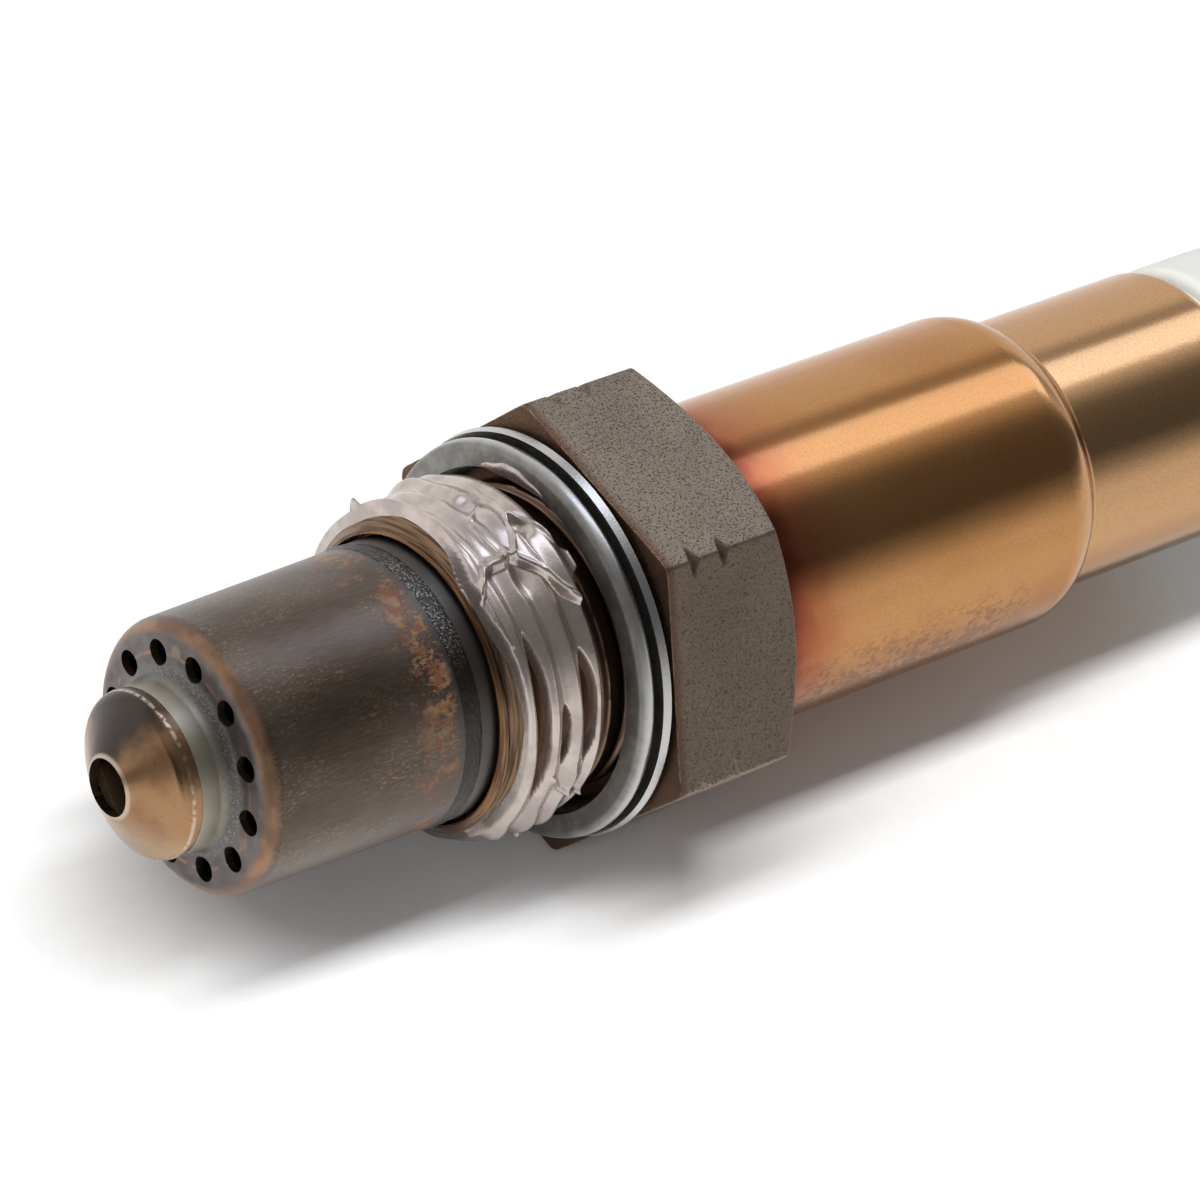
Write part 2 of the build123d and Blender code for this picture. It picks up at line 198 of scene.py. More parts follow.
class Pattern:
    """Where each point lies on the object, in real millimetres, and noise that is laid out in them."""

    def __init__(self, tree: Tree) -> None:
        """Finds the place on the object, the angle round the axis and the distance from it.

        Args:
            tree: node tree of the material.
        """
        self.tree = tree
        inputs = {0: Signal(add_node(tree, "TexCoord"), "Object"), "Scale": 1 / MM}
        self.place = Signal(add_node(tree, "VectorMath", inputs, operation="SCALE"))
        split = add_node(tree, "SeparateXYZ", {0: self.place})
        self.x, self.y, self.z = (Signal(split, output) for output in range(3))
        self.angle = self.z.math("ARCTAN2", self.y) * math.degrees(1.0)
        self.radius = self.y.diagonal(self.z)

    def facing(self, angle: float) -> Signal:
        """How far each side faces an angle round the axis: 1 there, 0 beside it and -1 behind."""
        return (self.angle - angle).math("RADIANS").math("COSINE")

    def noise(
        self,
        size: float,
        along: float = 1.0,
        detail: float = 3.0,
        roughness: float = 0.5,
        shift: float = 0.0,
    ) -> Signal:
        """Noise between about 0.25 and 0.75.

        Args:
            size: size of its spots round the axis, in millimetres.
            along: how many times longer the spots are along the axis.
            detail: octaves of finer noise.
            roughness: strength of the finer octaves.
            shift: moves the pattern to another place, in millimetres.

        Returns:
            The noise's value.
        """
        inputs = {"Vector": self.place, "Location": (shift, shift, shift), "Scale": (1 / along, 1.0, 1.0)}
        place = Signal(add_node(self.tree, "Mapping", inputs))
        inputs = {"Vector": place, "Scale": 1 / size, "Detail": detail, "Roughness": roughness}
        return Signal(add_node(self.tree, "TexNoise", inputs))

    def turned(self, size: float, run: float = 3.0, detail: float = 3.0, slant: float = 0.7) -> Signal:
        """Noise drawn out round the axis, as a lathe leaves its marks.

        Args:
            size: width of its streaks, in millimetres.
            run: how often a streak changes in a turn.
            detail: octaves of finer noise.
            slant: share of the radius that counts as length, which gives end faces their rings.

        Returns:
            The noise's value.
        """
        along = (self.x + self.radius * slant) / size
        sides = [side / self.radius * run for side in (self.y, self.z)]
        place = Signal(add_node(self.tree, "CombineXYZ", dict(enumerate((along, *sides)))))
        return Signal(add_node(self.tree, "TexNoise", {"Vector": place, "Scale": 1.0, "Detail": detail}))


@dataclass(frozen=True)
class Finish:
    """A surface finish that makes its own material."""

    name: str

    def look(self, pattern: Pattern) -> dict[str, object]:
        """Inputs of the finish's principled shader; each finish has its own."""
        raise NotImplementedError

    def shader(self, pattern: Pattern) -> Signal:
        """Principled shader with the finish's look."""
        return Signal(add_node(pattern.tree, "BsdfPrincipled", self.look(pattern)))

    def material(self) -> bpy.types.Material:
        """Builds the finish's material.

        Returns:
            The new material.
        """
        made = bpy.data.materials.new(self.name)
        made.use_nodes = True
        made.node_tree.nodes.clear()
        add_node(made.node_tree, "OutputMaterial", {"Surface": self.shader(Pattern(made.node_tree))})
        return made


@dataclass(frozen=True)
class OxidisedTube(Finish):
    """Drawn stainless tube burnt brown by exhaust gas: satin, with gold flecks, rust and a copper edge."""

    front: float
    front_radius: float
    hole_radius: float = 5.75
    collar_radius: float = 5.4
    rust_centre: float = -10.4
    band_front: float = -9.2
    tack_marks: Points = ((2.65, 5.41), (-5.71, -0.27))

    def skin(self, pattern: Pattern) -> Signal:
        """Brown oxide on the tube's side, with golden flecks."""
        colour = pattern.noise(3.5, along=1.8).fade(0.36, 0.64).mix("#4f3f33", "#5c4e44")
        line = pattern.noise(0.08, along=14.0, roughness=0.6).fade(0.4, 0.64)
        colour = (line * 0.2).mix(colour, "#7d7066")
        near_edge = pattern.x.fade(self.front + 2.6, self.front + 1.0)
        zone = pattern.noise(2.2, along=1.6, shift=11.0) + near_edge * 0.1
        fleck = pattern.noise(0.13, along=2.2, roughness=0.7).fade(0.53, 0.66) * zone.fade(0.42, 0.6)
        return (fleck * 0.5).mix(colour, "#9c845f")

    def rust(self, pattern: Pattern) -> Signal:
        """Share of grainy rust, in patches in front of the weld."""
        zone = pattern.x.fade(self.rust_centre - 2.6, self.rust_centre)
        zone *= pattern.x.fade(self.band_front + 0.25, self.band_front - 0.2)
        patch = pattern.noise(1.2, along=1.1, detail=4.0, roughness=0.6, shift=4.2)
        grain = pattern.noise(0.2, along=1.8, detail=4.0, roughness=0.7, shift=9.0)
        return (patch + zone * 0.13 + grain * 0.8).fade(1.0, 1.1) * zone

    def front_face(self, pattern: Pattern) -> Signal:
        """Grey-purple face with a thin copper line through the holes and two tack weld marks."""
        colour = pattern.noise(1.4, detail=4.0, shift=9.0).fade(0.35, 0.65).mix("#57504d", "#6f6766")
        line = pattern.radius.away_from(self.hole_radius).fade(0.16, 0.03)
        line *= pattern.noise(1.1, shift=14.0).fade(0.42, 0.58)
        return self.tacks(pattern).mix((line * 0.6).mix(colour, "#b07f58"), "#84705f")

    def tacks(self, pattern: Pattern) -> Signal:
        """Share of the two tack weld marks on the front face."""
        first, second = ((pattern.y - y).diagonal(pattern.z - z).fade(0.5, 0.25) for y, z in self.tack_marks)
        return (first + second) * pattern.x.fade(self.front + 0.3, self.front + 0.1)

    def look(self, pattern: Pattern) -> dict[str, object]:
        """Brown oxide under the rust, edge, face and collar colours."""
        x, radius, rust = pattern.x, pattern.radius, self.rust(pattern)
        rust_colour = pattern.noise(0.6, shift=7.0).fade(0.42, 0.6).mix("#76462f", "#8d6c46")
        colour = (rust * 0.85).mix(self.skin(pattern), rust_colour)
        colour = x.fade(self.band_front - 0.5, self.band_front + 0.1).mix(colour, "#504b47")
        streak = pattern.noise(1.6, along=0.6, detail=5.0, shift=2.0).fade(0.34, 0.66)
        edge = x.fade(self.front + 0.85, self.front + 0.4) * 0.85
        colour = edge.mix(colour, streak.mix("#7a5c46", "#a37c5e"))
        face = radius.fade(self.front_radius - 0.35, self.front_radius - 0.8)
        face *= x.fade(self.front + 0.35, self.front + 0.1)
        colour = face.mix(colour, self.front_face(pattern))
        neck = x.fade(self.front - 0.3, self.front - 0.9).mix("#5e5c56", "#b0a998")
        sparkle = pattern.noise(0.12, detail=2.0, shift=17.0).fade(0.5, 0.62)
        sparkle *= x.fade(self.front - 1.2, self.front - 0.2)
        collar = radius.fade(self.collar_radius, self.collar_radius - 0.5)
        relief = pattern.noise(0.09, along=12.0, detail=2.0) * 0.5 + rust * 0.9 + self.tacks(pattern)
        return {
            "Base Color": collar.mix(colour, sparkle.mix(neck, "#7d7c76")),
            "Metallic": rust.blend(1.0, 0.45),
            "Roughness": rust.blend(0.5, 0.75),
            "Coat Weight": 0.5,
            "Coat Roughness": 0.3,
            "Normal": relief.bump(0.014),
        }


@dataclass(frozen=True)
class TintedNose(Finish):
    """Stainless nose with a brown-gold heat tint: half polished, with grey clouds of painted dark reflection
    on its upper side and a painted highlight on its lower side.
    """

    shoulder: float = -23.9
    hole_radius: float = 1.56
    painted_dark_reflection_angle: float = 52.0

    def look(self, pattern: Pattern) -> dict[str, object]:
        """Gold tint with clouds of painted dark reflection, a painted highlight line along the shoulder, a
        painted lighter lower side and a light rim round the hole.
        """
        cloud = pattern.noise(2.6, detail=4.0)
        colour = cloud.fade(0.36, 0.62).mix("#8f6c4e", "#a37f5d")
        # Painted highlight: the colour is mixed lighter towards the lower side.
        colour = (pattern.z.fade(0.6, -2.4) * 0.55).mix(colour, "#c0a78b")
        # Painted dark reflection: grey clouds over the upper side stand in for the dark room mirrored there.
        drift = pattern.noise(1.8, detail=4.0, roughness=0.6, shift=5.0) * 0.6
        painted_dark_reflection = (pattern.facing(self.painted_dark_reflection_angle) + drift).fade(0.72, 1.24)
        colour = (painted_dark_reflection * 0.95).mix(colour, "#3e3b39")
        speck = pattern.noise(0.14, detail=2.0, shift=8.0).fade(0.64, 0.72)
        colour = (speck * 0.5).mix(colour, "#5a4636")
        # Painted highlight: a broken light line along the shoulder's rounded edge.
        line = pattern.x.away_from(self.shoulder).fade(0.14, 0.04)
        line *= pattern.noise(0.35, detail=4.0, roughness=0.6, shift=12.0).fade(0.4, 0.56)
        rim = pattern.radius.fade(self.hole_radius + 0.28, self.hole_radius + 0.1)
        return {
            "Base Color": (line.math("MAXIMUM", rim) * 0.7).mix(colour, "#cdbba6"),
            "Metallic": 1.0,
            "Roughness": cloud.fade(0.35, 0.65).blend(0.3, 0.24),
            "Normal": pattern.noise(0.12, along=0.25, detail=2.0).bump(0.004),
        }


@dataclass(frozen=True)
class TurnedHousing(Finish):
    """Machined stainless body dulled grey-brown by heat: pitted flats, rubbed corners, a front browned by
    heat tint and painted shade, and painted shade on one flat.
    """

    front: float
    rub_width: float = 0.14
    painted_shade_from: float = 120.0
    painted_shade_to: float = 179.65

    def corners(self, pattern: Pattern) -> Signal:
        """Share of the sharp corners, found by how far a bevel would turn the surface."""
        soft = Signal(add_node(pattern.tree, "Bevel", {"Radius": self.rub_width * MM}, samples=4))
        sharp = Signal(add_node(pattern.tree, "NewGeometry"), "Normal")
        turn = add_node(pattern.tree, "VectorMath", {0: soft, 1: sharp}, operation="DOT_PRODUCT")
        return Signal(turn, "Value").fade(0.985, 0.93)

    def look(self, pattern: Pattern) -> dict[str, object]:
        """Brown-grey oxide with dense pits, a browner front of heat tint and painted shade, painted shade on
        one flat, and brighter metal where a wrench rubs.
        """
        colour = pattern.noise(5.0).fade(0.35, 0.65).mix("#7e7061", "#877969")
        mottle = pattern.noise(0.3, detail=4.0, roughness=0.7, shift=3.0).fade(0.38, 0.66)
        colour = (mottle * 0.3).mix(colour, "#9a8c80")
        pits = pattern.noise(0.13, detail=2.0, roughness=0.6, shift=8.0).fade(0.54, 0.66)
        colour = (pits * 0.75).mix(colour, "#4a3d32")
        # Brown front: partly heat tint, partly painted shade.
        heat_tint_and_shade = pattern.x.fade(self.front + 0.75, self.front + 0.1)
        colour = (heat_tint_and_shade * 0.75).mix(colour, "#66452f")
        # Painted shade: the flat between these angles is mixed darker.
        painted_shade = pattern.angle.fade(self.painted_shade_from - 0.5, self.painted_shade_from + 0.5)
        painted_shade *= pattern.angle.fade(self.painted_shade_to + 0.25, self.painted_shade_to - 0.25)
        colour = (painted_shade * 0.4).mix(colour, "#4d4138")
        rubbed = self.corners(pattern) * pattern.noise(0.6, detail=4.0, shift=6.0).fade(0.4, 0.6)
        return {
            "Base Color": (rubbed * 0.5).mix(colour, "#b9a48e"),
            "Metallic": 1.0,
            "Roughness": rubbed.blend(0.5, 0.36),
            "Normal": (mottle * 0.35 - pits).bump(0.025),
        }


@dataclass(frozen=True)
class BurntThread(Finish):
    """Cut thread with a copper-brown heat tint, golden at its front, and fine lathe marks."""

    start: float

    def look(self, pattern: Pattern) -> dict[str, object]:
        """Copper on the front chamfer fading to brown along the thread."""
        streak = pattern.turned(0.16).fade(0.36, 0.64)
        brown, golden = streak.mix("#6d5546", "#806a5a"), streak.mix("#564437", "#846b54")
        colour = pattern.x.fade(self.start + 1.5, self.start + 0.9).mix(brown, golden)
        lip = pattern.x.fade(self.start + 0.22, self.start + 0.06) * 0.8
        return {
            "Base Color": lip.mix(colour, streak.mix("#5c3e2c", "#8b633d")),
            "Metallic": 1.0,
            "Roughness": streak.blend(0.4, 0.28),
            "Normal": pattern.turned(0.08, detail=2.0).bump(0.006),
        }


@dataclass(frozen=True)
class FoldedSheet(Finish):
    """Rolled stainless gasket sheet: matte grey with a fine haze and a rim painted bright as a highlight."""

    rim_radius: float

    def look(self, pattern: Pattern) -> dict[str, object]:
        """Grey sheet with a soft haze and a painted highlight at the rim."""
        haze = pattern.noise(1.1, detail=5.0, roughness=0.6).fade(0.35, 0.65).mix("#807e7a", "#94928d")
        # Painted highlight: the colour is mixed lighter on the rim's rounding.
        rim = pattern.radius.fade(self.rim_radius - 0.5, self.rim_radius - 0.2)
        speck = pattern.noise(0.16, detail=2.0, shift=5.0).fade(0.66, 0.72) * 0.4
        return {
            "Base Color": speck.mix(rim.mix(haze, "#bfbdbb"), "#5d544c"),
            "Metallic": 1.0,
            "Roughness": rim.blend(0.5, 0.27),
            "Normal": pattern.noise(0.12).bump(0.008),
        }


@dataclass(frozen=True)
class TintedSleeve(Finish):
    """Smooth drawn stainless sleeve with a bronze heat tint, dark red by the hexagon."""

    front: float
    step: float
    edge_tint: str = "#f2e8e0"
    under_angle: float = -152.0
    temper_length: float = 7.0
    temper_colours: Stops = (
        (0.0, "#4f2f2a"),
        (0.05, "#6c3527"),
        (0.14, "#89432a"),
        (0.28, "#a5623e"),
        (0.55, "#b1774c"),
        (1.0, "#b98350"),
    )

    def tint(self, pattern: Pattern) -> Signal:
        """Bronze tint, paler behind the step and with temper colours by the hexagon."""
        bronze = pattern.noise(7.0, along=1.5).fade(0.38, 0.62).mix("#b27d4b", "#ba8754")
        bronze = pattern.x.fade(self.step - 0.5, self.step + 1.0).mix(bronze, "#c0966b")
        distance = pattern.x - self.front - pattern.noise(2.2, shift=3.0) * 2.4
        share = {0: distance / self.temper_length}
        temper = Signal(add_node(pattern.tree, "ValToRGB", share, self.temper_colours))
        return distance.fade(self.temper_length, 2.5).mix(bronze, temper)

    def look(self, pattern: Pattern) -> dict[str, object]:
        """Heat tint with rust pits, and a browner stripe along the underside that is painted shade, the
        floor's shadow mirrored there.
        """
        below = pattern.facing(self.under_angle)
        pit = pattern.noise(0.3, along=1.3, detail=4.0, roughness=0.62, shift=1.0)
        pit += pattern.noise(0.9, along=1.4, detail=2.0, shift=21.0) * 0.35
        pits = below.fade(0.7, 0.95) * pattern.x.fade(self.step - 1.0, self.step - 5.0) * pit.fade(0.63, 0.78)
        colour = (pits * 0.6).mix(self.tint(pattern), "#55331f")
        # Painted shade: a browner stripe along the underside stands in for the mirrored floor shadow.
        colour = (below.fade(0.8, 0.98) * 0.6).mix(colour, "#774a2c")
        grain = pattern.noise(0.12, detail=2.0, roughness=0.7, shift=13.0).fade(0.4, 0.7)
        fine = pattern.noise(0.7, detail=2.0, shift=6.0) + grain * 0.3
        return {
            "Base Color": (grain * 0.25).mix(colour, "#7c5636"),
            "Metallic": 1.0,
            "Roughness": pits.blend(0.16, 0.26),
            "Specular Tint": linear(self.edge_tint),
            "Coat Weight": 0.2,
            "Coat Roughness": 0.12,
            "Normal": pits.bump(0.014, fine.bump(0.0022)),
        }


@dataclass(frozen=True)
class AntiSeizePaste(Finish):
    """Metal-filled assembly paste: lilac-grey cream full of fine flakes, half glossy where it is smeared."""

    def look(self, pattern: Pattern) -> dict[str, object]:
        """Flaky metallic cream, darker on its lower side with painted shade."""
        cloud = pattern.noise(1.6)
        colour = cloud.fade(0.36, 0.64).mix("#b0a49f", "#c6bab2")
        # Painted shade: the colour is mixed darker towards the lower side.
        colour = (pattern.z.fade(1.0, -7.0) * 0.75).mix(colour, "#7d716b")
        flake = pattern.noise(0.07, detail=1.0, roughness=0.6, shift=2.0)
        drag = pattern.noise(0.4, along=0.5, detail=2.0, shift=4.0)
        return {
            "Base Color": (flake.fade(0.6, 0.72) * 0.35).mix(colour, "#c4bab5"),
            "Metallic": 0.92,
            "Roughness": cloud.fade(0.3, 0.7).blend(0.3, 0.21),
            "Normal": flake.bump(0.003, drag.bump(0.008)),
        }


@dataclass(frozen=True)
class WeldBead(Finish):
    """Rough weld seam: black scale, with grains over its upper part painted bright as glints."""

    painted_glint_angle: float = 95.0

    def look(self, pattern: Pattern) -> dict[str, object]:
        """Dark scale, with painted glints on the grains of the upper side."""
        grain = pattern.noise(0.13, detail=2.0, roughness=0.7)
        # Painted glints: grains facing upwards are mixed bright.
        upper = pattern.facing(self.painted_glint_angle).fade(0.8, 0.97)
        return {
            "Base Color": (grain.fade(0.48, 0.66) * upper).mix("#403d3a", "#96928d"),
            "Metallic": 1.0,
            "Roughness": 0.34,
            "Normal": (grain * upper.blend(0.35, 1.0)).bump(0.05),
        }


@dataclass(frozen=True)
class PaleHose(Finish):
    """Extruded fluoropolymer hose: pale grey-green, waxy, slightly translucent."""

    def look(self, pattern: Pattern) -> dict[str, object]:
        """Waxy polymer with faint extrusion lines."""
        cloud = pattern.noise(5.0, along=2.0, detail=2.0)
        return {
            "Base Color": cloud.fade(0.35, 0.65).mix("#cbccc5", "#d8d9d3"),
            "Roughness": 0.42,
            "IOR": 1.36,
            "Subsurface Weight": 0.15,
            "Subsurface Radius": (0.6 * MM, 0.6 * MM, 0.5 * MM),
            "Normal": pattern.noise(0.3, along=8.0).bump(0.01),
        }


@dataclass(frozen=True)
class BlackRubber(Finish):
    """Moulded fluoro rubber: black, matte, with a faint bloom."""

    def look(self, pattern: Pattern) -> dict[str, object]:
        """Matte black with a grey bloom."""
        return {
            "Base Color": pattern.noise(1.2, detail=4.0).fade(0.45, 0.75).mix("#1c1c1c", "#2b2a29"),
            "Roughness": 0.62,
            "Normal": pattern.noise(0.15).bump(0.01),
        }


@dataclass(frozen=True)
class FiredCeramic(Finish):
    """Pressed and fired technical ceramic: pale, matte, with a fine grain."""

    low: str
    high: str

    def look(self, pattern: Pattern) -> dict[str, object]:
        """Pale grain between two colours."""
        grain = pattern.noise(0.3, detail=5.0, roughness=0.6)
        return {
            "Base Color": grain.fade(0.35, 0.65).mix(self.low, self.high),
            "Roughness": 0.6,
            "Normal": grain.bump(0.012),
        }


@dataclass(frozen=True)
class PlatedSpring(Finish):
    """Nickel-plated spring strip: bright, with the rolling lines of the strip."""

    def look(self, pattern: Pattern) -> dict[str, object]:
        """Bright plating with faint rolling lines."""
        line = pattern.noise(0.08, along=12.0, detail=2.0)
        return {
            "Base Color": line.fade(0.35, 0.65).mix("#c2beb6", "#d2cfc8"),
            "Metallic": 1.0,
            "Roughness": 0.24,
            "Normal": line.bump(0.003),
        }


@dataclass(frozen=True)
class WhiteFloor(Finish):
    """White studio paper, which keeps the sensor's shadow near it and is plain white further out."""

    near: float = 75.0
    far: float = 140.0
    centre: float = 12.0

    def shader(self, pattern: Pattern) -> Signal:
        """Paper that is lit near the sensor and plain white to the eye and in reflections far from it."""
        fibre = pattern.noise(1.5, detail=2.0).fade(0.3, 0.7).mix("#f6f6f6", "#f8f8f8")
        paper = Signal(add_node(pattern.tree, "BsdfDiffuse", {"Color": fibre}))
        white = Signal(add_node(pattern.tree, "Emission", {"Color": linear(WHITE), "Strength": 1.0}))
        reach = (pattern.x - self.centre).diagonal(pattern.y)
        share = on_rays(pattern.tree, "Camera", "Glossy", "Transmission") * reach.fade(self.near, self.far)
        return Signal(add_node(pattern.tree, "MixShader", {0: share, 1: paper, 2: white}))


def smoothstep(value: Array, start: float | Array, end: float | Array) -> Array:
    """Smooth rise from 0 at start to 1 at end."""
    share = np.clip((value - start) / (end - start), 0.0, 1.0)
    return share * share * (3.0 - 2.0 * share)


def smooth_min(first: Array, second: Array | float, width: float) -> Array:
    """Smaller of two surfaces, with the edge between them rounded over a width."""
    share = np.clip(0.5 + 0.5 * (second - first) / width, 0.0, 1.0)
    return second + (first - second) * share - width * share * (1.0 - share)


def smooth_max(first: Array, second: Array | float, width: float) -> Array:
    """Larger of two surfaces, with the corner between them filled over a width."""
    return -smooth_min(-first, -second, width)


def follow(line: Points, place: Array) -> Array:
    """Value at each place of a line through points (place, value)."""
    return np.interp(place, *zip(*line))


def ring_angles(count: int) -> Array:
    """Angles of a ring's points, in degrees from +Y towards +Z."""
    return np.arange(count) * 360.0 / count


def add_object(name: str, data: bpy.types.ID) -> bpy.types.Object:
    """Puts a new object with its mesh, lamp or camera into the scene."""
    made = bpy.data.objects.new(name, data)
    bpy.context.scene.collection.objects.link(made)
    return made


class RingPiece:
    """A piece with a closed mesh of rings round the axis, joined ring to ring and from last to first.

    Attributes:
        name: the piece's name.
        material_slot: a material slot's name; not used.
        smooth_angle: edges sharper than this many degrees stay sharp.
        is_housing: whether the piece is shown in place of the CAD housing.
        angles: points of each ring.
    """

    name: ClassVar[str]
    material_slot: ClassVar[str] = "housing_steel"
    smooth_angle: ClassVar[float] = 60.0
    is_housing: ClassVar[bool] = False
    angles: int

    def rings(self) -> tuple[Array, Array]:
        """Place along the axis and radius of the points, one row per ring and one column per angle."""
        raise NotImplementedError

    def grid(self, rows: Array) -> tuple[Array, Array]:
        """Place along the axis and angle of the points of rings at the given places."""
        return np.meshgrid(rows, ring_angles(self.angles), indexing="ij")

    def closed(self, x: Array, radius: Array, section: Sequence[tuple[float, float]]) -> tuple[Array, Array]:
        """Rings with plain rings at the points (x, radius) of a section added behind them."""
        plain = np.array(section)[:, :, None] * np.ones(self.angles)
        return np.concatenate([x, plain[:, 0]]), np.concatenate([radius, plain[:, 1]])

    def mesh(self) -> bpy.types.Mesh:
        """Joins the rings.

        Returns:
            The mesh, in metres.
        """
        x, radius = self.rings()
        angle = np.radians(ring_angles(self.angles))
        points = np.stack([x, radius * np.cos(angle), radius * np.sin(angle)], axis=-1).reshape(-1, 3) * MM
        here = np.arange(x.size).reshape(x.shape)
        ahead = np.roll(here, -1, axis=0)
        quads = np.stack([here, np.roll(here, -1, axis=1), np.roll(ahead, -1, axis=1), ahead], axis=-1)
        mesh = bpy.data.meshes.new(self.name)
        mesh.from_pydata(points.tolist(), [], quads.reshape(-1, 4).tolist())
        form = bmesh.new()
        form.from_mesh(mesh)
        bmesh.ops.recalc_face_normals(form, faces=form.faces)
        form.to_mesh(mesh)
        form.free()
        mesh.shade_smooth()
        mesh.set_sharp_from_angle(angle=math.radians(self.smooth_angle))
        return mesh

    def build(self, finish: bpy.types.Material) -> None:
        """Makes the piece and puts it on the sensor's body.

        Args:
            finish: its material.
        """
        piece = add_object(self.name, self.mesh())
        piece.data.materials.append(finish)
        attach(piece, BODY)
        if self.is_housing:
            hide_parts("sensor_housing")
        log.info("%s: %d faces", self.name, len(piece.data.polygons))


@dataclass
class ThreadedShank(RingPiece):
    """The housing's front half: an M18 x 1.5 thread with its start chamfer, undercut and tube recess."""

    name = "threaded_shank"
    smooth_angle = 40.0
    is_housing = True
    front: float
    rear: float
    radius: float = 9.0
    pitch: float = 1.5
    depth: float = 0.92
    flank_angle: float = 60.0
    crest_flat: float = 0.19
    crest_round: float = 0.06
    root_round: float = 0.16
    crest_x: float = -5.8
    crest_angle: float = 150.0
    start_radius: float = 8.0
    edge_round: float = 0.08
    undercut_front: float = -1.15
    undercut_radius: float = 8.45
    undercut_round: float = 0.2
    rim_drop: float = 0.03
    recess_radius: float = 7.88
    recess_depth: float = 1.5
    seat_radius: float = 7.66
    seat_depth: float = 3.5
    bore_radius: float = 5.6
    web_radius: float = 3.2
    web_thickness: float = 2.0
    step: float = 0.065
    angles: int = 480

    def turns(self, x: Array, angle: Array) -> Array:
        """Turns of the helix between each place and the crest at crest_x and crest_angle."""
        return (x - self.crest_x) / self.pitch - (angle - self.crest_angle) / 360.0

    def chamfer(self, x: Array) -> Array:
        """Radius of the start chamfer's cone."""
        return self.start_radius + (x - self.front)

    def surface(self, x: Array, angle: Array) -> Array:
        """Radius of the thread's surface.

        Args:
            x: place along the axis.
            angle: degrees from +Y towards +Z.

        Returns:
            The radius at each place.
        """
        turns = self.turns(x, angle)
        slope = math.tan(math.radians(self.flank_angle))
        flank = (np.abs(turns - np.round(turns)) * self.pitch - self.crest_flat / 2) * slope
        groove = smooth_min(smooth_max(flank, 0.0, self.crest_round), self.depth, self.root_round)
        thread = smooth_min(self.radius - groove, self.chamfer(x), self.edge_round)
        run_out = self.radius - (x - self.undercut_front) * slope
        run_out = smooth_max(run_out, self.undercut_radius, self.undercut_round)
        return smooth_min(thread, run_out, self.edge_round)

    def rings(self) -> tuple[Array, Array]:
        """Rings over the thread, then back through the bore, the web, the seat and the recess."""
        x, angle = self.grid(np.arange(self.front + self.step / 2, self.rear, self.step))
        recess, seat = self.front + self.recess_depth, self.front + self.seat_depth
        section = [
            (self.rear, self.bore_radius),
            (seat + self.web_thickness, self.bore_radius),
            (seat + self.web_thickness, self.web_radius),
            (seat, self.web_radius),
            (seat, self.seat_radius),
            (recess, self.seat_radius),
            (recess, self.recess_radius),
            (self.front, self.recess_radius),
            (self.front, self.start_radius - self.rim_drop),
        ]
        return self.closed(x, self.surface(x, angle), section)


@dataclass
class HexagonBody(RingPiece):
    """The housing's rear half: a 22 mm hexagon with turned chamfer and nicked corners, and the boss."""

    name = "hexagon"
    smooth_angle = 35.0
    is_housing = True
    front: float
    rear: float
    flat_radius: float = 11.0
    chamfer_angle: float = 30.0
    front_drop: float = 0.12
    front_slope: float = 1.2
    edge_round: float = 0.16
    nick_offsets: tuple[float, float] = (1.82, 3.80)
    nick_depth: float = 0.5
    nick_width: float = 0.75
    nick_wander: float = 0.12
    nick_waves: float = 7.0
    boss_radius: float = 8.45
    boss_length: float = 4.15
    lip_thickness: float = 0.8
    lip_radius: float = 4.9
    bore_radius: float = 5.6
    relief_radius: float = 8.2
    rear_ring_radius: float = 9.05
    front_ring_radius: float = 10.6
    rim_step: float = 0.02
    step: float = 0.085
    angles: int = 720

    def surface(self, x: Array, angle: Array) -> Array:
        """Radius of the hexagon's surface.

        Args:
            x: place along the axis.
            angle: degrees from +Y towards +Z.

        Returns:
            The radius at each place.
        """
        off_flat = np.mod(angle, 60.0) - 30.0
        flat = self.flat_radius / np.cos(np.radians(off_flat))
        next_flat = self.flat_radius / np.cos(np.radians(60.0 - np.abs(off_flat)))
        corner = self.flat_radius / math.cos(math.radians(30.0))
        chamfer = self.flat_radius + (self.rear - x) * math.tan(math.radians(90.0 - self.chamfer_angle))
        front = corner - self.front_drop + (x - self.front) * self.front_slope
        body = flat
        for limit in (next_flat, chamfer, front):
            body = smooth_min(body, limit, self.edge_round)
        wander = self.nick_wander * np.sin(np.radians(angle) * self.nick_waves + 1.0)
        for offset in self.nick_offsets:
            across = np.abs(x - self.front - offset - wander) / (self.nick_width / 2)
            body = np.minimum(body, corner - self.nick_depth * np.clip(1.0 - across, 0.0, 1.0))
        return body

    def rings(self) -> tuple[Array, Array]:
        """Rings over the hexagon, then round the boss and its lip and back through the bore."""
        inner_rows = np.arange(self.front + self.step, self.rear - self.rim_step, self.step)
        front_rows = [self.front, self.front + self.rim_step]
        x, angle = self.grid(np.concatenate([front_rows, inner_rows, [self.rear - self.rim_step / 2]]))
        boss_rear = self.rear + self.boss_length
        lip_rear = boss_rear + self.lip_thickness
        section = [
            (self.rear, self.rear_ring_radius),
            (self.rear, self.boss_radius),
            (boss_rear, self.boss_radius),
            (lip_rear, self.bore_radius + self.lip_thickness / 2),
            (lip_rear, self.lip_radius),
            (boss_rear, self.lip_radius),
            (boss_rear, self.bore_radius),
            (self.front, self.bore_radius),
            (self.front, self.relief_radius),
            (self.front, self.front_ring_radius),
        ]
        return self.closed(x, self.surface(x, angle), section)


@dataclass(frozen=True)
class Ridge:
    """A raised line dragged through the paste.

    Attributes:
        path: places (x, angle) along the line.
        height: how far it stands up, negative for a furrow.
        width: half its width.
    """

    path: Points
    height: float
    width: float


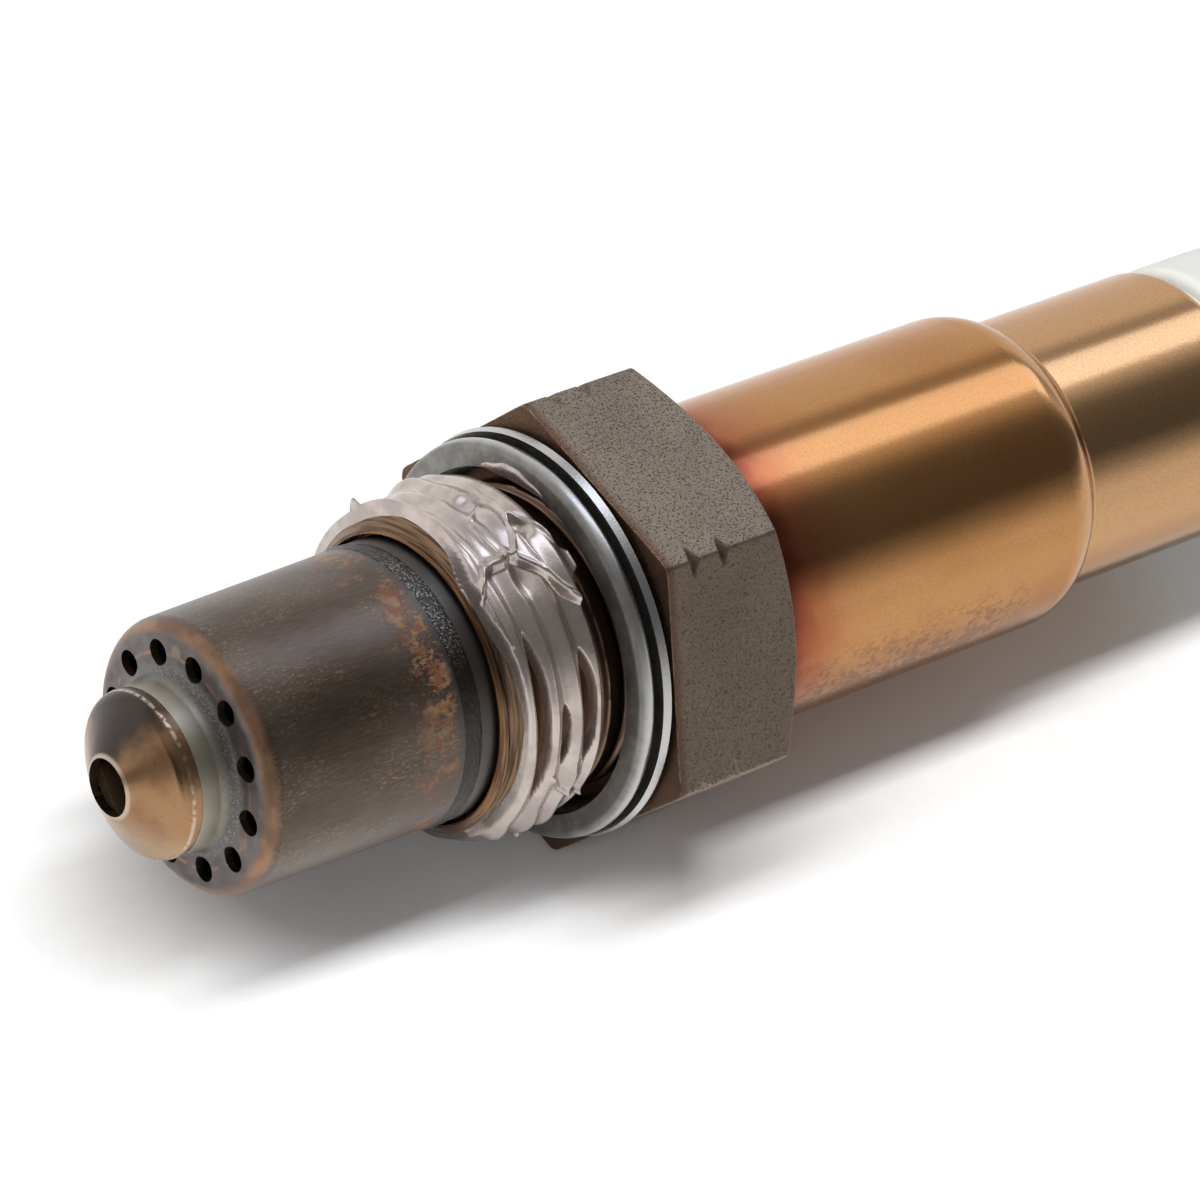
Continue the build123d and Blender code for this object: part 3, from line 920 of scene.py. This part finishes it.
@dataclass(frozen=True)
class Swell:
    """A rounded swelling or hollow of the paste.

    Attributes:
        x: its middle along the axis.
        angle: its middle round the axis, in degrees.
        half_length: half its size along the axis.
        half_angle: half its size round the axis, in degrees.
        height: how far it stands up, negative for a hollow.
    """

    x: float
    angle: float
    half_length: float
    half_angle: float
    height: float


@dataclass(frozen=True)
class Slot:
    """A long opening in the paste, along one groove of the thread, where bare metal shows.

    Attributes:
        groove: number of the groove, where 1 is the one behind the first full crest.
        start: its first angle, in degrees.
        end: its last angle, in degrees.
        half_width: half its width in the middle.
    """

    groove: int
    start: float
    end: float
    half_width: float


@dataclass
class PasteCoat(RingPiece):
    """Anti-seize paste brushed over the thread: thick and folded above, thin with open grooves below.

    Attributes:
        shank: the thread that it covers.
        skin: thickness where the coat only just covers the metal.
        thin: thickness over the crests outside the fold.
        fold: what the fold adds to it.
        fold_rise: angles between which the fold rises.
        fold_end: degrees before and behind the lip between which it ends.
        chamfer_cover: how far the coat stands over the start chamfer.
        wave: how far it follows the thread's crests and grooves.
        wave_loss: what the fold takes from that.
        groove_fill: roundness of the step from the coat to the skin.
        ripple_turns: fewest waves of a ripple in a turn, and one more than the most.
        ripple_length: shortest and longest wave of a ripple.
        ripple_lean: how far a ripple sways.
        lip_rise: angles between which the lip rises.
        slot_taper: how square the slots' ends are.
        slot_shut: how far a slot is shut past its ends.
        slot_edge: width of a slot's edge outside and inside it.
        edge: width of the coat's ends outside and inside them.
        sunk: depth under the metal where there is no paste.
        slots: the open grooves.
        lip: the line (x, angle) where the fold ends.
        front_edge: the line (angle, x) where the coat begins.
        rear_edge: the line (angle, x) where it ends.
        ridges: folds and dragged lines.
        swells: lumps, hollows and points.
    """

    name = "anti_seize_paste"
    smooth_angle = 180.0
    shank: ThreadedShank
    front: float = -7.1
    rear: float = -0.15
    skin: float = 0.07
    thin: float = 0.06
    fold: float = 0.36
    fold_rise: tuple[float, float] = (20.0, 40.0)
    fold_end: tuple[float, float] = (0.6, 1.2)
    chamfer_cover: float = 0.25
    wave: float = 0.14
    wave_loss: float = 0.05
    groove_fill: float = 0.12
    ripple_height: float = 0.14
    ripple_count: int = 18
    ripple_turns: tuple[int, int] = (1, 7)
    ripple_length: tuple[float, float] = (1.0, 3.2)
    ripple_lean: float = 0.6
    lip_height: float = 0.14
    lip_width: float = 1.6
    lip_rise: tuple[float, float] = (60.0, 90.0)
    slot_taper: float = 3.5
    slot_shut: float = 0.25
    slot_edge: tuple[float, float] = (0.07, 0.1)
    edge: tuple[float, float] = (0.14, 0.1)
    sunk: float = 0.08
    inner_radius: float = 7.9
    slots: tuple[Slot, ...] = (
        Slot(1, 122.0, 188.0, 0.44),
        Slot(2, 150.0, 173.0, 0.3),
        Slot(3, 133.0, 175.0, 0.44),
        Slot(1, 228.0, 330.0, 0.3),
        Slot(2, 250.0, 320.0, 0.26),
        Slot(3, 235.0, 345.0, 0.34),
    )
    lip: Points = (
        (-6.9, 112.0), (-6.4, 105.0), (-5.9, 100.5), (-5.2, 99.0), (-4.6, 99.5), (-4.0, 97.5),
        (-3.6, 99.0), (-3.2, 103.0), (-2.6, 108.0), (-2.1, 114.0), (-1.6, 118.0), (-0.9, 121.0),
    )
    front_edge: Points = (
        (0.0, -6.5), (33.0, -6.55), (60.0, -6.2), (85.0, -6.3), (100.0, -6.7),
        (115.0, -6.6), (130.0, -6.2), (150.0, -6.0), (185.0, -6.0), (205.0, -6.2),
        (215.0, -6.5), (260.0, -6.3), (320.0, -6.6), (360.0, -6.5),
    )
    rear_edge: Points = (
        (0.0, -0.9), (48.0, -0.9), (60.0, -1.15), (98.0, -1.1), (102.0, -0.5), (108.0, -0.5),
        (112.0, -1.25), (200.0, -1.3), (230.0, -1.0), (360.0, -0.9),
    )
    ridges: tuple[Ridge, ...] = (
        Ridge(((-2.3, 62.0), (-2.25, 74.0), (-2.4, 82.0), (-2.9, 89.0), (-3.7, 97.5)), 0.26, 0.11),
        Ridge(((-2.2, 82.0), (-1.7, 88.0), (-1.3, 93.5), (-1.1, 98.0)), 0.24, 0.11),
        Ridge(((-4.75, 83.0), (-4.8, 90.0), (-4.6, 97.0)), 0.16, 0.1),
        Ridge(((-2.75, 91.0), (-2.75, 98.0), (-2.5, 106.0), (-1.9, 114.5)), 0.16, 0.1),
        Ridge(((-4.4, 80.0), (-3.6, 75.5), (-2.9, 73.0)), 0.12, 0.09),
        Ridge(((-6.35, 60.0), (-6.3, 75.0), (-6.15, 92.0), (-6.3, 101.0)), -0.1, 0.14),
        Ridge(((-6.3, 104.0), (-6.25, 115.0), (-6.15, 125.0)), 0.09, 0.1),
        Ridge(((-4.15, 176.0), (-3.2, 185.0), (-2.2, 189.0), (-1.4, 192.0)), 0.25, 0.16),
        Ridge(((-1.45, 135.0), (-1.5, 150.0), (-1.6, 165.0), (-2.2, 178.0)), 0.1, 0.14),
    )
    swells: tuple[Swell, ...] = (
        Swell(-3.2, 71.0, 1.15, 4.6, -0.3),
        Swell(-3.8, 88.5, 0.8, 8.0, 0.12),
        Swell(-2.3, 87.5, 0.55, 4.0, -0.38),
        Swell(-2.0, 101.0, 0.7, 11.0, 0.16),
        Swell(-4.0, 106.0, 0.45, 4.5, -0.2),
        Swell(-5.5, 62.0, 0.35, 7.0, -0.2),
        Swell(-4.1, 58.0, 0.35, 7.0, -0.2),
        Swell(-2.9, 37.0, 1.1, 9.0, 0.35),
        Swell(-4.7, 38.0, 0.6, 8.0, -0.15),
        Swell(-6.5, 35.5, 0.1, 3.0, 0.75),
        Swell(-5.6, 34.0, 0.85, 11.0, -0.32),
        Swell(-3.4, 205.0, 1.2, 9.0, 0.5),
        Swell(-5.4, 208.0, 0.6, 6.0, 0.25),
        Swell(-4.9, 212.5, 0.2, 2.2, 0.4),
        Swell(-3.7, 214.0, 0.22, 2.4, 0.45),
        Swell(-2.4, 182.0, 0.5, 5.0, 0.18),
    )
    step: float = 0.06
    angles: int = 640
    seed: int = 7

    def arc(self, angle: Array | float) -> Array | float:
        """Length round the thread of an angle in degrees."""
        return np.radians(angle) * self.shank.radius

    def near_line(self, x: Array, angle: Array, path: Points) -> Array:
        """Distance from each place to a line over the thread's surface."""
        best = np.full_like(x, np.inf)
        for (x0, a0), (x1, a1) in zip(path, path[1:]):
            run = np.array([x1 - x0, self.arc(a1 - a0)])
            to_x, to_a = x - x0, self.arc(angle - a0)
            share = np.clip((to_x * run[0] + to_a * run[1]) / (run @ run), 0.0, 1.0)
            best = np.minimum(best, np.hypot(to_x - share * run[0], to_a - share * run[1]))
        return best

    def ripple(self, x: Array, angle: Array) -> Array:
        """Brush marks: smooth waves that run round the thread and repeat every turn."""
        random = np.random.default_rng(self.seed)
        total = np.zeros_like(x)
        for _ in range(self.ripple_count):
            waves_round = random.integers(*self.ripple_turns)
            wave_length = random.uniform(*self.ripple_length)
            lean = random.uniform(-self.ripple_lean, self.ripple_lean)
            phase = random.uniform(0.0, 2 * math.pi)
            sway = lean * np.sin(np.radians(angle) * 3)
            total += np.sin(2 * math.pi * x / wave_length + np.radians(angle) * waves_round + sway + phase)
        return total / self.ripple_count

    def bare(self, x: Array, angle: Array) -> Array:
        """How far each place is open, from 0 for coated to 1 for bare metal."""
        open_share = np.zeros_like(x)
        for slot in self.slots:
            half_turn = (slot.end - slot.start) / 2
            along = np.clip(np.abs(angle - slot.start - half_turn) / half_turn, 0.0, 1.0)
            half_width = slot.half_width * (1 - along**self.slot_taper) - self.slot_shut * (along >= 1.0)
            across = np.abs(self.shank.turns(x, angle) - slot.groove + 0.5) * self.shank.pitch
            inside = smoothstep(half_width - across, -self.slot_edge[0], self.slot_edge[1])
            open_share = np.maximum(open_share, inside)
        return open_share

    def coat(self, x: Array, angle: Array, metal: Array) -> Array:
        """Radius of the paste's outside, as if it had no edges and no open grooves.

        Args:
            x: place along the axis.
            angle: degrees from +Y towards +Z.
            metal: radius of the thread there.

        Returns:
            The radius at each place.
        """
        lip_angle = follow(self.lip, x)
        above = 1 - smoothstep(angle, lip_angle - self.fold_end[0], lip_angle + self.fold_end[1])
        above *= smoothstep(angle, *self.fold_rise)
        crest = np.minimum(self.shank.radius, self.shank.chamfer(x) + self.chamfer_cover)
        wave = np.cos(2 * math.pi * self.shank.turns(x, angle)) * (self.wave - self.wave_loss * above)
        level = crest + self.thin + self.fold * above + wave
        coat = smooth_max(level, metal + self.skin, self.groove_fill)
        coat += self.ripple(x, angle) * self.ripple_height
        off_lip = (angle - lip_angle + self.lip_width) / self.lip_width
        coat += self.lip_height * np.exp(-(off_lip**2)) * smoothstep(angle, *self.lip_rise)
        for ridge in self.ridges:
            coat += ridge.height * np.exp(-((self.near_line(x, angle, ridge.path) / ridge.width) ** 2))
        for swell in self.swells:
            off = ((x - swell.x) / swell.half_length) ** 2 + ((angle - swell.angle) / swell.half_angle) ** 2
            coat += swell.height * np.exp(-(off**1.4))
        return np.maximum(coat, metal + self.skin / 2)

    def surface(self, x: Array, angle: Array) -> Array:
        """Radius of the paste's outside.

        Args:
            x: place along the axis.
            angle: degrees from +Y towards +Z.

        Returns:
            The radius at each place, below the thread's surface where there is no paste.
        """
        metal = self.shank.surface(x, angle)
        front, rear = follow(self.front_edge, angle), follow(self.rear_edge, angle)
        outside, inside = self.edge
        cover = smoothstep(x, front - outside, front + inside)
        cover *= 1 - smoothstep(x, rear - inside, rear + outside)
        cover *= 1 - self.bare(x, angle)
        return metal - self.sunk + (self.coat(x, angle, metal) - metal + self.sunk) * cover

    def rings(self) -> tuple[Array, Array]:
        """Rings over the coat, closed by two rings inside the shank."""
        rows = np.arange(self.front, self.rear, self.step)
        x, angle = self.grid(rows)
        section = [(rows[-1], self.inner_radius), (rows[0], self.inner_radius)]
        return self.closed(x, self.surface(x, angle), section)


@dataclass
class GasketSmear(RingPiece):
    """A crescent of paste wiped onto the gasket's front face, with the rest of its ring inside the sheet."""

    name = "gasket_paste_smear"
    material_slot = "gasket_steel"
    start: float = 50.0
    end: float = 84.0
    inner: float = 9.6
    outer: float = 10.15
    inner_spread: float = 0.28
    hair: float = 0.02
    ragged: tuple[tuple[float, float, float], ...] = ((0.06, 23.0, 0.0), (0.04, 41.0, 1.0))
    thickness: float = 0.12
    depth: float = 0.1
    backing: float = 0.08
    ring_count: int = 14
    angles: int = 720

    def rings(self) -> tuple[Array, Array]:
        """Rings across the crescent, closed by two rings inside the gasket's sheet."""
        angle = ring_angles(self.angles)
        half_turn = (self.end - self.start) / 2
        along = np.clip(1 - ((angle - self.start - half_turn) / half_turn) ** 2, 0.0, 1.0)
        share = np.linspace(0.0, 1.0, self.ring_count)[:, None]
        waves = [high * np.sin(np.radians(angle) * count + phase) for high, count, phase in self.ragged]
        inner = self.inner - self.inner_spread * along
        outer = self.inner + self.hair + (self.outer - self.inner + sum(waves)) * along
        radius = inner + (outer - inner) * share
        crown = np.sqrt(np.clip(1 - (2 * share - 1) ** 4, 0.0, 1.0))
        x = self.depth - (self.depth + self.thickness) * crown * np.sqrt(along)
        back = np.full((2, self.angles), self.depth + self.backing)
        return np.concatenate([x, back]), np.concatenate([radius, radius[-1:], radius[:1]])


@dataclass
class WeldedTubeEnd(RingPiece):
    """The weld seam round the outer tube's rear end."""

    name = "tube_weld_seam"
    material_slot = "tube_steel"
    front: float = -9.1
    rear: float = -7.9
    tube_radius: float = 7.62
    rise: float = 0.09
    grain: float = 0.02
    sunk: float = 0.04
    depth: float = 0.2
    ring_count: int = 26
    angles: int = 420
    seed: int = 3

    def rings(self) -> tuple[Array, Array]:
        """Rings over the grainy crown, closed by two rings inside the tube's wall."""
        x, _ = self.grid(np.linspace(self.front, self.rear, self.ring_count))
        crown = np.sin(np.pi * (x - self.front) / (self.rear - self.front)) ** 0.5
        grain = np.random.default_rng(self.seed).normal(0.0, self.grain, x.shape)
        grain = (grain + np.roll(grain, 1, axis=1) + np.roll(grain, -1, axis=1)) / 3
        radius = self.tube_radius - self.sunk + (self.rise + grain) * crown
        inside = self.tube_radius - self.depth
        return self.closed(x, radius, [(self.rear, inside), (self.front, inside)])


class FinishKind(Enum):
    """The finishes of the pieces that keep their CAD shape."""

    TUBE = "oxidised_drawn_tube"
    NOSE = "straw_tinted_nose"
    GASKET = "folded_gasket_sheet"
    SLEEVE = "bronze_tinted_sleeve"
    ELEMENT = "zirconia_element"
    BUSH = "fired_ceramic_bush"
    TALC = "packed_talc"
    RING = "turned_retaining_ring"
    CONTACT = "plated_contact_strip"
    GROMMET = "moulded_black_rubber"
    HOSE = "extruded_pale_hose"


@dataclass
class DressedFrame:
    """The CAD nodes that keep their own shape, each with its finish.

    Attributes:
        shank_front: where the housing begins, behind the outer tube.
        gasket_rim: radius of the gasket's rim.
        sleeve_front: where the sleeve begins.
        tube_length: from the outer tube's face to the shank's front.
        tube_radius: radius of the outer tube's front end.
        sleeve_step: from the sleeve's front to its step.
    """

    shank_front: float
    gasket_rim: float
    sleeve_front: float
    tube_length: float = 14.3
    tube_radius: float = 7.42
    sleeve_step: float = 22.3

    def materials(self) -> dict[FinishKind, bpy.types.Material]:
        """The material of each kind."""
        tube_front = self.shank_front - self.tube_length
        recipes = {
            FinishKind.TUBE: (OxidisedTube, tube_front, self.tube_radius),
            FinishKind.NOSE: (TintedNose,),
            FinishKind.GASKET: (FoldedSheet, self.gasket_rim),
            FinishKind.SLEEVE: (TintedSleeve, self.sleeve_front, self.sleeve_front + self.sleeve_step),
            FinishKind.ELEMENT: (FiredCeramic, "#e8e6dd", "#f2f0e9"),
            FinishKind.BUSH: (FiredCeramic, "#ddd5c4", "#e9e2d3"),
            FinishKind.TALC: (FiredCeramic, "#aaa79e", "#bdbab1"),
            # The retaining ring lies far behind the front's heat tint and painted shade, so it shows none of
            # them.
            FinishKind.RING: (TurnedHousing, tube_front),
            FinishKind.CONTACT: (PlatedSpring,),
            FinishKind.GROMMET: (BlackRubber,),
            FinishKind.HOSE: (PaleHose,),
        }
        return {kind: finish(kind.value, *sizes).material() for kind, (finish, *sizes) in recipes.items()}

    def dress(self) -> None:
        """Gives each kept CAD node its material."""
        holders = ("contact_holder_upper", "contact_holder_lower")
        clips = (f"contact_clip_{number}" for number in range(1, 6))
        nodes = {
            FinishKind.TUBE: ("outer_protection_tube",),
            FinishKind.NOSE: ("inner_protection_tube",),
            FinishKind.GASKET: ("gasket_ring",),
            FinishKind.SLEEVE: ("protective_sleeve",),
            FinishKind.ELEMENT: ("sensor_element",),
            FinishKind.BUSH: ("front_ceramic_bush", "rear_ceramic_bush", *holders),
            FinishKind.TALC: ("talc_seal",),
            FinishKind.RING: ("retaining_ring",),
            FinishKind.CONTACT: ("holder_clamp_spring", *clips),
            FinishKind.GROMMET: ("cable_grommet",),
            FinishKind.HOSE: ("shaped_hose",),
        }
        materials = self.materials()
        for kind, names in nodes.items():
            for name in names:
                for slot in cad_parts[name].material_slots:
                    slot.material = materials[kind]
                log.info("%s: %s", name, kind.value)


@dataclass
class Studio:
    """Floor, lights, white surroundings and the camera at the photograph's angle.

    Attributes:
        softbox_lead: how far the softbox lies towards the cable, as a share of its distance.
        softbox_angle: its angle from +Y towards +Z.
        fill_reach: the direction's part along X between which the fill from the front rises.
        room: the mirrored room's brightness, as angles from +Y towards +Z and colours.
        screen_side: direction of a small dark screen, which the nose's shoulder mirrors.
        screen_reach: cosines of the angles to that direction between which the screen begins.
    """

    floor_height: float
    floor_size: float = 6000.0
    azimuth: float = -52.243
    elevation: float = 43.111
    roll: float = 21.466
    aim: tuple[float, float, float] = (4.512, -1.093, 2.429)
    distance: float = 350.0
    lens: float = 200.13
    sensor_width: float = 36.0
    clip_start: float = 10.0
    softbox_lead: float = 0.45
    softbox_angle: float = 69.5
    softbox_distance: float = 1000.0
    softbox_size: tuple[float, float] = (1500.0, 400.0)
    softbox_level: float = 2.2
    softbox_colour: str = "#d6e2f8"
    key_place: tuple[float, float, float] = (-420.0, 20.0, 1460.0)
    key_size: tuple[float, float] = (2200.0, 260.0)
    key_level: float = 15.5
    dim_level: float = 0.1
    fill_level: float = 1.3
    fill_reach: tuple[float, float] = (-0.3, -0.8)
    screen_side: tuple[float, float, float] = (-0.955, -0.25, 0.157)
    screen_reach: tuple[float, float] = (0.87, 0.965)
    screen_colour: str = "#282828"
    room: Stops = (
        (-180.0, WHITE),
        (37.08, WHITE),
        (46.8, "#b4b4b4"),
        (54.0, "#b4b4b4"),
        (87.12, "#e8e8e8"),
        (97.92, "#979797"),
        (106.2, "#757575"),
        (118.8, "#6a6a6a"),
        (144.0, "#5f5f5f"),
        (156.96, "#a4a4a4"),
        (167.04, "#dedede"),
        (176.4, WHITE),
    )

    def build(self) -> None:
        """Makes the whole studio."""
        self.floor()
        self.softbox()
        self.key()
        self.surroundings()
        self.camera()

    def floor(self) -> None:
        """White floor just under the sensor."""
        form = bmesh.new()
        bmesh.ops.create_grid(form, x_segments=8, y_segments=8, size=self.floor_size / 2 * MM)
        bmesh.ops.translate(form, verts=form.verts, vec=(0.0, 0.0, self.floor_height * MM))
        mesh = bpy.data.meshes.new("floor")
        form.to_mesh(mesh)
        form.free()
        paper = WhiteFloor("white_studio_paper").material()
        paper.cycles.emission_sampling = "NONE"
        mesh.materials.append(paper)
        floor = add_object("floor", mesh)

    def lamp(self, name: str, place: Vector, size: tuple[float, float], level: float) -> bpy.types.Object:
        """Rectangular lamp that faces the sensor.

        Args:
            name: the lamp's name.
            place: its middle.
            size: its two sides, the first along X.
            level: its brightness, where 1 looks white.

        Returns:
            The lamp's object.
        """
        light = bpy.data.lights.new(name, "AREA")
        light.shape = "RECTANGLE"
        light.size, light.size_y = size[0] * MM, size[1] * MM
        light.energy = level * math.pi * light.size * light.size_y
        lamp = add_object(name, light)
        back = place.normalized()
        along = (Vector((1.0, 0.0, 0.0)) - back * back.x).normalized()
        turned = Matrix((along, back.cross(along), back)).transposed().to_4x4()
        lamp.matrix_world = Matrix.Translation(place * MM) @ turned
        return lamp

    def softbox(self) -> None:
        """Long softbox overhead, a little behind, which metal mirrors as the sleeve's bright streak."""
        angle = math.radians(self.softbox_angle)
        place = Vector((self.softbox_lead, math.cos(angle), math.sin(angle))) * self.softbox_distance
        lamp = self.lamp("softbox", place, self.softbox_size, self.softbox_level)
        lamp.data.color = linear(self.softbox_colour)[:3]
        lamp.visible_diffuse = False

    def key(self) -> None:
        """Long narrow lamp overhead, which lights the floor and matt surfaces and casts the shadow."""
        lamp = self.lamp("key_light", Vector(self.key_place), self.key_size, self.key_level)
        lamp.visible_glossy = False

    def mirrored_room(self, tree: Tree, direction: Signal, split: bpy.types.Node) -> Signal:
        """Colour of the room that metal mirrors in each direction.

        Args:
            tree: the world's node tree.
            direction: where the ray goes.
            split: node with the direction's three parts.

        Returns:
            The room's colour.
        """
        angle_x = Signal(split, 2).math("ARCTAN2", Signal(split, 1))
        turn = {"Value": angle_x, "From Min": -math.pi, "From Max": math.pi}
        share = Signal(add_node(tree, "MapRange", turn))
        stops = [((angle + 180.0) / 360.0, colour) for angle, colour in self.room]
        room = Signal(add_node(tree, "ValToRGB", {0: share}, stops))
        facing = add_node(tree, "VectorMath", {0: direction, 1: self.screen_side}, operation="DOT_PRODUCT")
        return Signal(facing, "Value").fade(*self.screen_reach).mix(room, self.screen_colour)

    def surroundings(self) -> None:
        """White room with a dark side where the camera stands.

        Metal mirrors the room and the camera sees white, while matt surfaces get a plain low level from it,
        with more from in front of the tip, which fills the shadow under the tube.
        """
        world = bpy.data.worlds.new("studio_surroundings")
        bpy.context.scene.world = world
        world.cycles.sampling_method = "NONE"
        world.use_nodes = True
        tree = world.node_tree
        tree.nodes.clear()
        direction = Signal(add_node(tree, "TexCoord"), "Generated")
        split = add_node(tree, "SeparateXYZ", {0: direction})
        fill = {"Value": Signal(split, 0), "From Min": self.fill_reach[0], "From Max": self.fill_reach[1]}
        levels = {"To Min": self.dim_level, "To Max": self.fill_level}
        level = Signal(add_node(tree, "MapRange", {**fill, **levels}))
        room = self.mirrored_room(tree, direction, split)
        lights = [(linear(WHITE), level), (room, 1.0), (linear(WHITE), 1.0)]
        dim, lit, white = (
            Signal(add_node(tree, "Background", {"Color": colour, "Strength": strength}))
            for colour, strength in lights
        )
        inputs = {0: on_rays(tree, "Glossy", "Transmission"), 1: dim, 2: lit}
        mixed = Signal(add_node(tree, "MixShader", inputs))
        mixed = Signal(add_node(tree, "MixShader", {0: on_rays(tree, "Camera"), 1: mixed, 2: white}))
        add_node(tree, "OutputWorld", {"Surface": mixed})

    def camera(self) -> None:
        """Camera at the photograph's viewing angle, with its roll and long lens."""
        azimuth, elevation = math.radians(self.azimuth), math.radians(self.elevation)
        flat = Vector((math.sin(azimuth), -math.cos(azimuth), 0.0)) * math.cos(elevation)
        back = flat + Vector((0.0, 0.0, math.sin(elevation)))
        right = Vector((0.0, 0.0, 1.0)).cross(back).normalized()
        turned = Matrix((right, back.cross(right), back)).transposed()
        turned = turned @ Matrix.Rotation(math.radians(self.roll), 3, "Z")
        data = bpy.data.cameras.new("photo_camera")
        data.lens, data.sensor_width, data.clip_start = self.lens, self.sensor_width, self.clip_start * MM
        camera = add_object("photo_camera", data)
        place = (Vector(self.aim) + back * self.distance) * MM
        camera.matrix_world = Matrix.Translation(place) @ turned.to_4x4()
        bpy.context.scene.camera = camera


def in_millimetres(node: str) -> tuple[Vector, Vector]:
    """Lowest and highest corner of a CAD node, in millimetres."""
    low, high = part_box(node)
    return low / MM, high / MM


def main() -> None:
    """Builds and dresses the sensor, then the studio round it."""
    logging.basicConfig(level=logging.INFO, format="%(name)s %(message)s")
    bpy.context.scene.view_settings.view_transform = "Standard"
    housing_low, _ = in_millimetres("sensor_housing")
    gasket_low, gasket_high = in_millimetres("gasket_ring")
    sleeve_low, _ = in_millimetres("protective_sleeve")
    shank = ThreadedShank(front=housing_low.x, rear=gasket_high.x)
    shank.build(BurntThread("heat_tinted_thread", shank.front).material())
    hexagon = HexagonBody(front=gasket_high.x, rear=sleeve_low.x)
    hexagon.build(TurnedHousing("dulled_turned_steel", hexagon.front).material())
    paste = AntiSeizePaste("metal_filled_paste").material()
    PasteCoat(shank).build(paste)
    GasketSmear().build(paste)
    WeldedTubeEnd().build(WeldBead("weld_scale").material())
    DressedFrame(shank_front=shank.front, gasket_rim=gasket_high.z, sleeve_front=sleeve_low.x).dress()
    Studio(floor_height=gasket_low.z).build()


if __name__ == "__main__":
    main()
